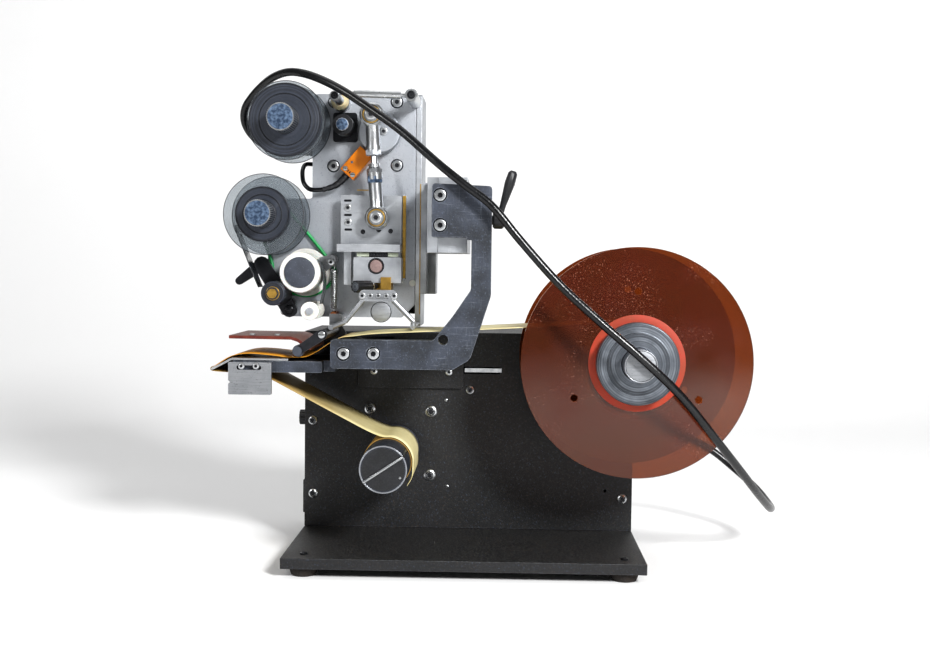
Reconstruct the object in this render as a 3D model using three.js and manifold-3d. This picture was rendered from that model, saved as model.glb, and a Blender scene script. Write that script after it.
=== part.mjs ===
// Label dispenser with a hot-foil coding head, in millimetres, +Z up.
// X runs to the right, Y away from the person at the machine, Z up from the floor.
// While the pieces are made, X = 0 is the middle of the base and Y = 0 the front of the panel.
// At the end the whole group moves so that its origin is under the middle of the machine.
import * as THREE from 'three';
import { mergeVertices } from 'three/addons/utils/BufferGeometryUtils.js';
import Module from 'manifold-3d';

const wasm = await Module();
wasm.setup();

// Driving dimensions
const baseWidth = 300;
const baseHalf = baseWidth / 2;
const panelTop = 196.7;
const seat = 0.3; // gap between two pieces that touch
const run = 0.3; // radial clearance of a shaft in its bore
const weld = 0.0001; // points closer than this are one
const overrun = 1; // how far a cut runs past the face that it opens
const sink = 0.5; // how far two shapes of one piece run into each other
const web = { back: -13, width: 76, sheet: 0.8 }; // label and liner paper, drawn thick enough to be a solid
web.front = web.back - web.width;
web.half = web.sheet / 2;

// Geometry helpers
const vec2 = (x, y) => new THREE.Vector2(x, y);
const vec3 = (x, y, z) => new THREE.Vector3(x, y, z);
const middle = vec2(0, 0);
const turnOf = (degrees) => THREE.MathUtils.degToRad(degrees);

function toSolid(geometry) {
  const bare = geometry.clone();
  for (const name of Object.keys(bare.attributes)) {
    if (name !== 'position') bare.deleteAttribute(name);
  }
  const merged = mergeVertices(bare, weld);
  const places = merged.attributes.position.array;
  const corners = merged.index.array;
  const kept = [];
  let volume = 0;
  const [a, b, c] = [vec3(0, 0, 0), vec3(0, 0, 0), vec3(0, 0, 0)];
  for (let i = 0; i < corners.length; i += 3) {
    const [p, q, r] = [corners[i], corners[i + 1], corners[i + 2]];
    if (p === q || q === r || r === p) continue;
    kept.push(p, q, r);
    a.fromArray(places, 3 * p);
    b.fromArray(places, 3 * q);
    c.fromArray(places, 3 * r);
    volume += a.dot(b.cross(c));
  }
  if (volume < 0) kept.reverse();
  const vertProperties = new Float32Array(places);
  const triVerts = new Uint32Array(kept);
  return new wasm.Manifold(new wasm.Mesh({ numProp: 3, vertProperties, triVerts }));
}

function toGeometry(solid) {
  const { vertProperties, triVerts, numProp } = solid.getMesh();
  const places = new Float32Array(triVerts.length * 3);
  triVerts.forEach((corner, i) => {
    for (let k = 0; k < 3; k += 1) places[3 * i + k] = vertProperties[corner * numProp + k];
  });
  const geometry = new THREE.BufferGeometry();
  geometry.setAttribute('position', new THREE.BufferAttribute(places, 3));
  geometry.computeVertexNormals();
  return geometry;
}

const join = (first, ...others) => others.reduce((sum, solid) => sum.add(solid), first);
const cut = (solid, ...tools) => tools.reduce((rest, tool) => rest.subtract(tool), solid);

// An outline with rounded corners: each corner is [x, y, radius]. No corner takes more than its share of a
// side.
const cornerShare = 0.48;
function outline(corners, steps = 4) {
  const points = [];
  corners.forEach(([x, y, radius = 0], i) => {
    const here = vec2(x, y);
    if (radius <= 0) {
      points.push(here);
      return;
    }
    const before = corners[(i + corners.length - 1) % corners.length];
    const after = corners[(i + 1) % corners.length];
    const back = vec2(before[0] - x, before[1] - y);
    const ahead = vec2(after[0] - x, after[1] - y);
    const room = Math.min(back.length(), ahead.length()) * cornerShare;
    back.normalize();
    ahead.normalize();
    const half = Math.acos(THREE.MathUtils.clamp(back.dot(ahead), -1, 1)) / 2;
    const reach = Math.min(radius / Math.tan(half), room);
    const arc = reach * Math.tan(half);
    const heart = back.clone().add(ahead).normalize().multiplyScalar(arc / Math.sin(half)).add(here);
    const first = here.clone().addScaledVector(back, reach).sub(heart);
    const last = here.clone().addScaledVector(ahead, reach).sub(heart);
    let turn = last.angle() - first.angle();
    if (turn > Math.PI) turn -= 2 * Math.PI;
    if (turn < -Math.PI) turn += 2 * Math.PI;
    for (let k = 0; k <= steps; k += 1) {
      points.push(first.clone().rotateAround(middle, (turn * k) / steps).add(heart));
    }
  });
  return points;
}

function circle(x, y, radius, sides = 16) {
  const points = [];
  for (let k = 0; k < sides; k += 1) {
    const angle = (2 * Math.PI * k) / sides;
    points.push(vec2(x + radius * Math.cos(angle), y + radius * Math.sin(angle)));
  }
  return points;
}

const box = (x0, x1, y0, y1, radius = 0, steps = 3) =>
  outline([[x0, y0, radius], [x1, y0, radius], [x1, y1, radius], [x0, y1, radius]], steps);

// The outline round two circles, each given as [x, y, radius].
function link([x0, y0, r0], [x1, y1, r1], steps = 6) {
  const along = Math.atan2(y1 - y0, x1 - x0);
  const spread = Math.acos((r0 - r1) / Math.hypot(x1 - x0, y1 - y0));
  const points = [];
  for (let k = 0; k <= steps; k += 1) {
    const angle = along - spread + (2 * spread * k) / steps;
    points.push(vec2(x1 + r1 * Math.cos(angle), y1 + r1 * Math.sin(angle)));
  }
  for (let k = 0; k <= steps; k += 1) {
    const angle = along + spread + (2 * (Math.PI - spread) * k) / steps;
    points.push(vec2(x0 + r0 * Math.cos(angle), y0 + r0 * Math.sin(angle)));
  }
  return points;
}

function extruded(points, holes, depth) {
  const shape = new THREE.Shape(points);
  holes.forEach((hole) => shape.holes.push(new THREE.Path(hole)));
  return new THREE.ExtrudeGeometry(shape, { depth, bevelEnabled: false });
}

// Plates cut from an outline: in XZ between two Y values, in XY between two Z, in YZ between two X.
const plateY = (points, y0, y1, holes = []) =>
  toSolid(extruded(points, holes, y1 - y0).rotateX(Math.PI / 2).translate(0, y1, 0));
const plateZ = (points, z0, z1, holes = []) => toSolid(extruded(points, holes, z1 - z0).translate(0, 0, z0));
const sideways = new THREE.Matrix4().makeBasis(vec3(0, 1, 0), vec3(0, 0, 1), vec3(1, 0, 0));
const plateX = (points, x0, x1, holes = []) =>
  toSolid(extruded(points, holes, x1 - x0).applyMatrix4(sideways).translate(x0, 0, 0));

// A turned piece along Y. The profile is a list of [radius, y] and closes on the axis.
function turnedY(profile, x, z, sides = 32) {
  const points = profile.map(([radius, y]) => vec2(radius, y));
  points.unshift(vec2(0, points[0].y));
  points.push(vec2(0, points[points.length - 1].y));
  return toSolid(new THREE.LatheGeometry(points, sides).translate(x, 0, z));
}
const pinY = (radius, y0, y1, x, z, sides = 16) => turnedY([[radius, y0], [radius, y1]], x, z, sides);

function hollowY(profile, x, z, sides = 32) {
  const points = [...profile, profile[0]].map(([radius, y]) => vec2(radius, y));
  return toSolid(new THREE.LatheGeometry(points, sides).translate(x, 0, z));
}
const ringY = (outer, inner, y0, y1, x, z, sides = 32) =>
  hollowY([[inner, y0], [outer, y0], [outer, y1], [inner, y1]], x, z, sides);

// A turned piece along any direction. The profile is a list of [radius, distance from the start].
function turned(profile, start, direction, sides = 16) {
  const points = profile.map(([radius, reach]) => vec2(radius, reach));
  points.unshift(vec2(0, points[0].y));
  points.push(vec2(0, points[points.length - 1].y));
  const geometry = new THREE.LatheGeometry(points, sides);
  geometry.applyQuaternion(new THREE.Quaternion().setFromUnitVectors(vec3(0, 1, 0), direction));
  return toSolid(geometry.translate(start.x, start.y, start.z));
}
function bar(radius, from, to, sides = 12) {
  const along = to.clone().sub(from);
  return turned([[radius, 0], [radius, along.length()]], from, along.normalize(), sides);
}
const up = vec3(0, 0, 1);
const right = vec3(1, 0, 0);

// A wire or cord of round section along a curve.
function tube(curve, radius, steps, sides) {
  const section = new THREE.Shape(circle(0, 0, radius, sides));
  return toSolid(new THREE.ExtrudeGeometry(section, { steps, extrudePath: curve, bevelEnabled: false }));
}
const routeOf = (points) => new THREE.CatmullRomCurve3(points.map(([x, y, z]) => vec3(x, y, z)), false,
  'centripetal');

// A strip of sheet that follows a path in XZ between two Y values.
function strip(path, thickness, y0, y1) {
  const left = [];
  const far = [];
  path.forEach((point, i) => {
    const before = path[Math.max(i - 1, 0)];
    const after = path[Math.min(i + 1, path.length - 1)];
    const across = after.clone().sub(before).normalize().rotateAround(middle, Math.PI / 2);
    left.push(point.clone().addScaledVector(across, thickness / 2));
    far.unshift(point.clone().addScaledVector(across, -thickness / 2));
  });
  return plateY([...left, ...far], y0, y1);
}

// A smooth path in XZ through the points, with a few steps in each span.
function smooth(points, steps) {
  const curve = new THREE.CatmullRomCurve3(points.map(([x, z]) => vec3(x, 0, z)), false, 'centripetal');
  return curve.getPoints(steps * (points.length - 1)).map(({ x, z }) => vec2(x, z));
}
const around = (x, z, radius, degrees) =>
  [x + radius * Math.cos(turnOf(degrees)), z + radius * Math.sin(turnOf(degrees))];

const machine = new THREE.Group();
const finish = {
  blackSheet: ['#17181c', 0.6, 0.1],
  charcoal: ['#353a44', 0.5, 0.2],
  rubber: ['#1c1512', 0.9, 0],
  blackPlastic: ['#101114', 0.4, 0],
  aluminium: ['#c8ccd2', 0.45, 0.8],
  steel: ['#b4b6b8', 0.3, 1],
  greyPlate: ['#8d8f92', 0.5, 0.7],
  brass: ['#c9a24e', 0.35, 0.9],
  amber: ['#7a3a20', 0.2, 0],
  clear: ['#d8dde2', 0.1, 0],
  spool: ['#2a2d36', 0.5, 0],
  paper: ['#d9cf9d', 0.6, 0],
  orange: ['#e8930c', 0.4, 0],
  green: ['#0a9a50', 0.5, 0],
  white: ['#ecebe6', 0.5, 0],
};
function add(name, solid, look) {
  const [color, roughness, metalness] = finish[look];
  const mesh = new THREE.Mesh(toGeometry(solid), new THREE.MeshStandardMaterial({ color, roughness,
    metalness }));
  mesh.name = name;
  machine.add(mesh);
}

// Base plate: a folded tray with four rubber feet under its corners
const base = { ahead: 133, behind: 110, top: 17, lip: 9, sheet: 2, screw: 2 };
const foot = { radius: 12, tip: 10, inset: 17, shoulder: 6 };
function makeBase() {
  const [left, farRight] = [-baseHalf + foot.inset, baseHalf - foot.inset];
  const [front, rear] = [-base.ahead + foot.inset, base.behind - foot.inset];
  const places = { front_left: [left, front], front_right: [farRight, front],
    rear_left: [left, rear], rear_right: [farRight, rear] };
  const holes = Object.values(places).map(([x, y]) => circle(x, y, base.screw, 8));
  const tray = plateZ(box(-baseHalf, baseHalf, -base.ahead, base.behind), base.top - base.lip, base.top,
    holes);
  const inner = box(-baseHalf + base.sheet, baseHalf - base.sheet, -base.ahead + base.sheet,
    base.behind - base.sheet);
  add('base_plate', cut(tray, plateZ(inner, base.top - base.lip - overrun, base.top - base.sheet)),
    'blackSheet');
  const footTop = base.top - base.sheet - seat;
  for (const [place, [x, y]] of Object.entries(places)) {
    const profile = [[foot.tip, 0], [foot.radius, foot.shoulder], [foot.radius, footTop]];
    add(`foot_${place}`, turned(profile, vec3(x, y, 0), up, 20), 'rubber');
  }
}

// Front panel with the carriage slot and shaft holes, and the sheet cover behind it
const panel = { sheet: 3, bottom: base.top + seat, slotLeft: -95, slotRight: 30.3, slotZ: 162.5,
  slotHalf: 3.3, hole: 1.6 };
const panelHoles = [[-20.7, 135], [-19, 55.8], [125.6, 53.6]];
const cover = { sheet: 1.5, vents: 9, ventLeft: -20, ventPitch: 14, ventWidth: 4, ventLow: 60,
  ventHigh: 120 };
cover.front = panel.sheet + seat;
cover.inside = baseHalf - cover.sheet;
const rewind = { x: -66.4, z: 90.5, radius: 20, shaft: 5, front: -128, rear: -8.3, flange: 22.5,
  flangeSheet: 3.5, bevel: 1 };
const reel = { x: 142.5, z: 178, disc: 97, tail: 4, tailEnd: 24, bossLeft: 18, bossHalf: 13, bossCorner: 2 };
const rewindMotor = { x: -62.5, z: 95.6, half: 30, depth: 35, motor: 29, length: 60, pilot: 13.7, bore: 22,
  corner: 4 };
const gland = { y: 70, z: 100, nut: 8, nutLength: 8, thread: 6, inside: 4, taperShare: 0.7 };
const knob = { y: 30, z: 114, radius: 7, depth: 8.7, shaft: 3, inside: 5, ribs: 14, rib: 0.7 };
const rocker = { y: 40, z: 39.5, wide: 18, high: 22, tilt: 6, frameY: 14, frameZ: 15.5, frame: 5.3,
  play: 0.5, playHigh: 1.5, out: 1, half: 4, dip: 1, frameCorner: 2 };
function makeHousing() {
  const [low, high] = [panel.slotZ - panel.slotHalf, panel.slotZ + panel.slotHalf];
  const holes = [box(panel.slotLeft, panel.slotRight, low, high, panel.slotHalf, 6)];
  holes.push(circle(rewind.x, rewind.z, rewindMotor.pilot + run, 24));
  panelHoles.forEach(([x, z]) => holes.push(circle(x, z, panel.hole, 8)));
  const face = plateY(box(-baseHalf, baseHalf, panel.bottom, panelTop), 0, panel.sheet, holes);
  const bossRight = cover.inside - seat;
  const boss = plateY(box(reel.x - reel.bossLeft, bossRight, reel.z - reel.bossHalf, reel.z + reel.bossHalf,
    reel.bossCorner),
    panel.sheet - sink, reel.tailEnd);
  const bore = pinY(reel.tail + run, -overrun, reel.tailEnd + overrun, reel.x, reel.z, 20);
  add('front_panel', cut(join(face, boss), bore), 'blackSheet');

  const shell = plateY(box(-baseHalf, baseHalf, panel.bottom, panelTop), cover.front, base.behind);
  const inner = plateY(box(-cover.inside, cover.inside, panel.bottom - overrun, panelTop - cover.sheet),
    cover.front - overrun, base.behind - cover.sheet);
  const frameFace = box(rocker.y - rocker.frameY, rocker.y + rocker.frameY, rocker.z - rocker.frameZ,
    rocker.z + rocker.frameZ, rocker.frameCorner);
  const bezel = plateX(frameFace, -baseHalf - rocker.frame, -baseHalf + sink);
  const [halfWide, halfHigh] = [rocker.wide / 2 + rocker.play, rocker.high / 2 + rocker.playHigh];
  const opening = plateX(box(rocker.y - halfWide, rocker.y + halfWide, rocker.z - halfHigh,
    rocker.z + halfHigh), -baseHalf - rocker.frame - overrun, -cover.inside + overrun);
  const knobHole = plateX(circle(knob.y, knob.z, knob.shaft + run, 12), -baseHalf - overrun,
    -cover.inside + overrun);
  const glandHole = plateX(circle(gland.y, gland.z, gland.thread + run, 16), cover.inside - overrun,
    baseHalf + overrun);
  const vents = [];
  for (let k = 0; k < cover.vents; k += 1) {
    const x = cover.ventLeft + k * cover.ventPitch;
    vents.push(plateY(box(x, x + cover.ventWidth, cover.ventLow, cover.ventHigh, cover.ventWidth / 2, 2),
      base.behind - cover.sheet - overrun, base.behind + overrun));
  }
  add('rear_cover', cut(join(cut(shell, inner), bezel), opening, knobHole, glandHole, ...vents),
    'blackSheet');

  const nutStart = gland.inside + cover.sheet + seat;
  const glandProfile = [[gland.thread, 0], [gland.thread, nutStart], [gland.nut, nutStart],
    [gland.nut, nutStart + gland.nutLength * gland.taperShare], [gland.thread, nutStart + gland.nutLength]];
  add('cord_gland', turned(glandProfile, vec3(cover.inside - gland.inside, gland.y, gland.z), right),
    'blackPlastic');

  const grip = [];
  for (let k = 0; k < 2 * knob.ribs; k += 1) {
    grip.push(vec2(...around(knob.y, knob.z, knob.radius - (k % 2) * knob.rib, (180 * k) / knob.ribs)));
  }
  const knobBack = -baseHalf - seat;
  const stem = bar(knob.shaft, vec3(knobBack - sink, knob.y, knob.z),
    vec3(-baseHalf + knob.inside, knob.y, knob.z));
  add('speed_knob', join(plateX(grip, knobBack - knob.depth, knobBack), stem), 'blackPlastic');

  const tall = rocker.high / 2;
  const body = [[-rocker.half, -tall], [-rocker.half, tall], [rocker.half, tall], [rocker.half - rocker.dip,
    0], [rocker.half, -tall]].map(([out, z]) =>
    vec2(-out, z).rotateAround(middle, turnOf(rocker.tilt)).add(vec2(-baseHalf - rocker.out, rocker.z)));
  add('power_rocker', plateY(body, rocker.y - rocker.wide / 2, rocker.y + rocker.wide / 2), 'blackPlastic');
}

// Rewind: gearmotor behind the panel, spindle, wound liner and the wire clip that grips it
const wound = { play: 0.3, wall: 0.6 };
wound.inner = rewind.radius + wound.play;
wound.outer = wound.inner + wound.wall;
const clip = { wire: 1.2, tilt: 33.6, inner: -16, play: 0.3, depth: 0.1, slotEnd: 2 };
clip.reach = rewind.radius - clip.wire - clip.depth;
function makeRewind() {
  const { x, z } = rewind;
  const rear = cover.front + rewindMotor.depth;
  const gearhead = plateY(box(rewindMotor.x - rewindMotor.half, rewindMotor.x + rewindMotor.half,
    rewindMotor.z - rewindMotor.half, rewindMotor.z + rewindMotor.half, rewindMotor.corner), cover.front,
    rear);
  const pilot = pinY(rewindMotor.pilot, seat, cover.front + sink, x, z, 24);
  const motor = pinY(rewindMotor.motor, rear - sink, rear + rewindMotor.length, rewindMotor.x,
    rewindMotor.z, 24);
  const bore = pinY(rewind.shaft + run, -overrun, rewindMotor.bore, x, z, 20);
  add('rewind_gearmotor', cut(join(gearhead, pilot, motor), bore), 'steel');

  const flangeFront = rewind.rear - rewind.flangeSheet;
  const spindle = turnedY([[rewind.radius - rewind.bevel, rewind.front], [rewind.radius,
    rewind.front + rewind.bevel], [rewind.radius, flangeFront], [rewind.flange, flangeFront],
    [rewind.flange, rewind.rear], [rewind.shaft, rewind.rear], [rewind.shaft, rewindMotor.bore - seat]], x,
    z, 26);
  const prongs = [clip.tilt, clip.tilt + 180].map((degrees) => around(x, z, clip.reach, degrees));
  const groove = clip.wire + clip.play;
  const slots = prongs.map(([px, pz]) => {
    const out = vec2(px - x, pz - z).normalize();
    const side = out.clone().rotateAround(middle, Math.PI / 2).multiplyScalar(groove);
    const low = vec2(px, pz).addScaledVector(out, -groove);
    const high = vec2(px, pz).addScaledVector(out, groove + overrun);
    const corners = [low.clone().sub(side), high.clone().sub(side), high.clone().add(side),
      low.clone().add(side)];
    return plateY(corners, rewind.front - overrun, clip.inner + clip.slotEnd);
  });
  add('rewind_spindle', cut(spindle, ...slots), 'blackPlastic');
  add('liner_roll', ringY(wound.outer, wound.inner, web.front, web.back, x, z, 30), 'paper');

  const across = rewind.front - clip.play - clip.wire;
  const [[ax, az], [bx, bz]] = prongs;
  const [a, b] = [vec3(ax, across, az), vec3(bx, across, bz)];
  const ball = (at) => toSolid(new THREE.SphereGeometry(clip.wire, 8, 6).translate(at.x, at.y, at.z));
  const wire = join(bar(clip.wire, a, b, 8), bar(clip.wire, a, vec3(ax, clip.inner, az), 8),
    bar(clip.wire, b, vec3(bx, clip.inner, bz), 8), ball(a), ball(b));
  add('rewind_clip', wire, 'blackPlastic');
}

// Supply reel: shaft with its hub, two amber discs, the collar and a nearly empty roll hanging on the hub
const reelHub = { radius: 31.5, spigot: 20, shaft: 13.5, front: -128, shoulder: 10, bevel: 1 };
const reelDisc = { sheet: 3, rearFace: -6, frontFace: -95, hole: 3.2, holeReach: 60,
  holeAngles: [90, 210, 330], sides: 40 };
const collar = { radius: 34.5, length: 12.7, step: 26, stepDepth: 1.5, bevel: 1 };
const roll = { bore: 38, outer: 41.5 };
roll.z = reel.z + reelHub.radius + seat - roll.bore;
function makeReel() {
  const { x, z } = reel;
  const rearDiscFront = reelDisc.rearFace - reelDisc.sheet;
  const frontDiscRear = reelDisc.frontFace + reelDisc.sheet;
  const body = turnedY([[reelHub.shaft - reelHub.bevel, reelHub.front], [reelHub.shaft,
    reelHub.front + reelHub.bevel], [reelHub.shaft, frontDiscRear + seat], [reelHub.radius,
    frontDiscRear + seat], [reelHub.radius, rearDiscFront - seat], [reelHub.spigot, rearDiscFront - seat],
    [reelHub.spigot, reelDisc.rearFace + seat], [reelHub.shoulder, reelDisc.rearFace + seat],
    [reelHub.shoulder, -seat], [reel.tail, -seat], [reel.tail, reel.tailEnd]], x, z, 26);
  add('reel_shaft', body, 'spool');
  const disc = (bore, y0) => {
    const holes = reelDisc.holeAngles.map((degrees) => {
      const [hx, hz] = around(x, z, reelDisc.holeReach, degrees);
      return pinY(reelDisc.hole, y0 - overrun, y0 + reelDisc.sheet + overrun, hx, hz, 8);
    });
    return cut(ringY(reel.disc, bore, y0, y0 + reelDisc.sheet, x, z, reelDisc.sides), ...holes);
  };
  add('reel_disc_rear', disc(reelHub.spigot + run, rearDiscFront), 'amber');
  add('reel_disc_front', disc(reelHub.shaft + run, reelDisc.frontFace), 'amber');
  const far = reelDisc.frontFace - seat;
  const near = far - collar.length;
  const step = near + collar.stepDepth;
  const bore = reelHub.shaft + run;
  const profile = [[bore, near], [collar.step, near], [collar.step, step], [collar.radius - collar.bevel,
    step], [collar.radius, step + collar.bevel], [collar.radius, far], [bore, far]];
  add('reel_collar', hollowY(profile, x, z, 26), 'spool');
  add('label_roll', ringY(roll.outer, roll.bore, web.front, web.back, x, roll.z, 36), 'paper');
}

// Carriage on the panel slot: slide plate, bridge block with the web nose, ear and hinge rod of the
// hold-down
const slide = { left: -101, right: -5, low: 146, high: 177, front: -4, corner: 3, tongueInset: 10,
  tongueBack: 2.5, tongueCorner: 2 };
const bridge = { left: -112, right: -66, front: -95.7, low: 172.5, top: 190.5, corner: 1.5 };
const nose = { start: -92, crest: -105, top: 195.6, lip: 192.9, round: 6 };
const hinge = { x: -121.5, z: 198.5, rod: 2.5, wall: 1.7, ear: 6.5, earFront: -8.3, earBack: -4.3,
  rodFront: -97.9, clear: 3, corner: 3, earCorner: 2 };
const table = { left: -197, right: -121.4, low: 166.3, top: 175.8, front: -95, back: -5, tongueFront: -80,
  tongueBack: -20, tongueSink: 2, corner: 1.5 };
function makeCarriage() {
  const plate = plateY(box(slide.left, slide.right, slide.low, slide.high, slide.corner), slide.front,
    -seat);
  const tongue = plateY(box(slide.left + slide.tongueInset, slide.right - slide.tongueInset,
    panel.slotZ - panel.slotHalf + seat, panel.slotZ + panel.slotHalf - seat, slide.tongueCorner),
    -seat - sink, slide.tongueBack);
  const block = plateY(outline([[bridge.left, bridge.low, bridge.corner], [bridge.right, bridge.low,
    bridge.corner], [bridge.right, bridge.top, bridge.corner], [nose.start, bridge.top], [nose.crest,
    nose.top, nose.round], [bridge.left, nose.lip]]), bridge.front, slide.front + sink);
  const earLow = table.top + hinge.clear;
  const earRight = bridge.left + hinge.clear;
  const ear = plateY(outline([[hinge.x - hinge.ear / 2, earLow, hinge.earCorner], [earRight, earLow],
    [earRight, bridge.top], [hinge.x + hinge.ear, hinge.z + hinge.clear, hinge.corner],
    [hinge.x, hinge.z + hinge.ear, hinge.corner], [hinge.x - hinge.ear, hinge.z, hinge.corner]]),
    hinge.earFront, hinge.earBack);
  const rod = pinY(hinge.rod, hinge.rodFront, hinge.earBack - sink, hinge.x, hinge.z);
  add('slide_carriage', join(plate, tongue, block, ear, rod), 'greyPlate');
}

// Peel table with its liner guide rod, peel plate and slotted gauge plate
const guide = { x: -173.7, z: 160.3, rod: 3, cheek: 5, cheekFront: -94.7, cheekRear: -8, cheekSheet: 4,
  corner: 3 };
const peel = { right: -150, knee: -198, tipX: -215.3, tipZ: 168.3, sheet: 2 };
peel.z = table.top + seat + peel.sheet / 2;
const gauge = { left: -200, right: -163.7, low: 147.5, high: 174.8, sheet: 3.7, slotLeft: -193,
  slotRight: -172, slotZ: 170.3, slotHalf: 1.9, notchZ: 158, notch: 1.5, corner: 1 };
function makeTable() {
  const top = plateY(box(table.left, table.right, table.low, table.top, table.corner), table.front,
    table.back);
  const tongue = plateY(box(table.right - table.tongueSink, bridge.left - seat, table.low, table.top),
    table.tongueFront, table.tongueBack);
  const cheek = (y0) => plateY(outline([[guide.x - guide.cheek, guide.z - guide.cheek, guide.corner],
    [guide.x + guide.cheek, guide.z - guide.cheek, guide.corner], [guide.x + guide.cheek, table.low + sink],
    [guide.x - guide.cheek, table.low + sink]]), y0, y0 + guide.cheekSheet);
  const rod = pinY(guide.rod, guide.cheekFront + sink, guide.cheekRear - sink, guide.x, guide.z, 16);
  const rearCheek = guide.cheekRear - guide.cheekSheet;
  add('peel_table', join(top, tongue, cheek(guide.cheekFront), cheek(rearCheek), rod), 'greyPlate');
  const path = [vec2(peel.right, peel.z), vec2(peel.knee, peel.z), vec2(peel.tipX, peel.tipZ)];
  add('peel_plate', strip(path, peel.sheet, table.front, table.back), 'steel');
  const slot = box(gauge.slotLeft, gauge.slotRight, gauge.slotZ - gauge.slotHalf,
    gauge.slotZ + gauge.slotHalf, gauge.slotHalf);
  const face = outline([[gauge.left, gauge.low, gauge.corner], [gauge.right, gauge.low, gauge.corner],
    [gauge.right, gauge.high, gauge.corner], [gauge.left, gauge.high, gauge.corner],
    [gauge.left, gauge.notchZ + gauge.notch], [gauge.left + gauge.notch, gauge.notchZ],
    [gauge.left, gauge.notchZ - gauge.notch]], 3);
  const back = table.front - seat;
  add('gauge_plate', plateY(face, back - gauge.sheet, back, [slot]), 'greyPlate');
}

// Hold-down: arms on the hinge rod, the amber plate that they carry and the roller that presses the web
const pressRoller = { x: -141.8, radius: 5, pin: 2, boss: 3.6, head: 4, headFront: -100.2 };
pressRoller.z = peel.z + peel.sheet / 2 + seat + web.sheet + seat + pressRoller.radius;
const flap = { armFront: -97.3, armSheet: 3, rearFront: -11.5, rearSheet: 2.5, plate: 2.8, left: -200.5,
  z: 195.7 };
const flapBend = [[-148, 195.3], [-141.6, 193.2], [-136, 188.9], [-131, 186.4]];
function makeHoldDown() {
  const sleeve = hinge.rod + run + hinge.wall;
  const rear = flap.rearFront + flap.rearSheet;
  const shape = link([hinge.x, hinge.z, sleeve], [pressRoller.x, pressRoller.z, pressRoller.boss]);
  const bored = (radius, at, sides) =>
    pinY(radius + run, flap.armFront - overrun, rear + overrun, at.x, at.z, sides);
  const arms = join(plateY(shape, flap.armFront, flap.armFront + flap.armSheet), plateY(shape,
    flap.rearFront, rear), pinY(sleeve, flap.armFront, rear, hinge.x, hinge.z, 16));
  add('flap_arms', cut(arms, bored(hinge.rod, hinge, 16), bored(pressRoller.pin, pressRoller, 12)),
    'greyPlate');
  const path = [vec2(flap.left, flap.z), ...smooth(flapBend, 3)];
  const inFront = flap.armFront + flap.armSheet + seat;
  add('hold_down_plate', strip(path, flap.plate, inFront, flap.rearFront - seat), 'amber');
  const rollerBack = flap.rearFront - seat;
  const roller = turnedY([[pressRoller.head, pressRoller.headFront], [pressRoller.head,
    flap.armFront - seat], [pressRoller.pin, flap.armFront - seat], [pressRoller.pin, inFront],
    [pressRoller.radius, inFront], [pressRoller.radius, rollerBack], [pressRoller.pin, rollerBack],
    [pressRoller.pin, rear]],
  pressRoller.x, pressRoller.z, 16);
  add('hold_down_roller', roller, 'steel');
}

// Label web from the roll over the nose and under the roller to the peel tip, and the liner back to the
// spindle
const webSpan = [[92, 209.4], [0, 203.6], [-82, 199.2]];
const webHump = [[-162, 180], [-178, 181.4], [-188, 181.4], [-199.5, 179.1]];
const webDrop = [[-110.5, 194.4], [-117, 190.6], [-127, 183.9]];
const webEase = { beforeNose: -97, noseRise: 0.9, beforeRoller: -135.5, rollerRise: 0.8, afterRoller: -152 };
const linerSpan = [[-165.5, 160.1], [-145, 149.3], [-100, 125.8], [-84, 117.6], [-76.2, 114.2]];
const linerEnd = [[-45.4, 78], [-49.3, 70.6]];
const linerEase = { beforeGuide: 14, guideRise: 0.9, leaveAngle: 62, afterTip: 0.6 };
const webTurns = { leave: 95, tip: [-40, 0, 40, 90], onRoll: [98, 78, 56, 34, 12, -8] };
function makeWeb() {
  const lift = seat + web.half;
  const leave = around(reel.x, roll.z, roll.outer + lift, webTurns.leave);
  const onTable = peel.z + peel.sheet / 2 + lift;
  const onNose = nose.top + lift;
  const slope = vec2(peel.tipX - peel.knee, peel.tipZ - peel.z).normalize();
  const wrap = peel.sheet / 2 + lift;
  const overTip = vec2(peel.tipX, peel.tipZ).addScaledVector(vec2(slope.y, -slope.x), wrap);
  overTip.addScaledVector(slope, -overrun);
  const points = [leave, ...webSpan, [webEase.beforeNose, onNose + webEase.noseRise], [nose.crest, onNose],
    ...webDrop, [webEase.beforeRoller, onTable + webEase.rollerRise], [pressRoller.x, onTable],
    [webEase.afterRoller, onTable], ...webHump, [overTip.x, overTip.y]];
  add('label_web', strip(smooth(points, 3), web.sheet, web.front, web.back), 'paper');

  const start = overTip.clone().addScaledVector(slope, linerEase.afterTip);
  const facing = THREE.MathUtils.radToDeg(slope.angle());
  const tipTurn = webTurns.tip.map((degrees) => around(peel.tipX, peel.tipZ, wrap, facing + degrees));
  const overGuide = guide.z + guide.rod + lift;
  const onRoll = webTurns.onRoll.map((degrees) =>
    around(rewind.x, rewind.z, wound.outer + wound.play + lift, degrees));
  const path = [[start.x, start.y], ...tipTurn, [guide.x - linerEase.beforeGuide,
    overGuide + linerEase.guideRise], [guide.x, overGuide], around(guide.x, guide.z, guide.rod + lift,
    linerEase.leaveAngle), ...linerSpan, ...onRoll, ...linerEnd];
  add('backing_liner', strip(smooth(path, 3), web.sheet, web.front, web.back), 'paper');
}

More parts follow.
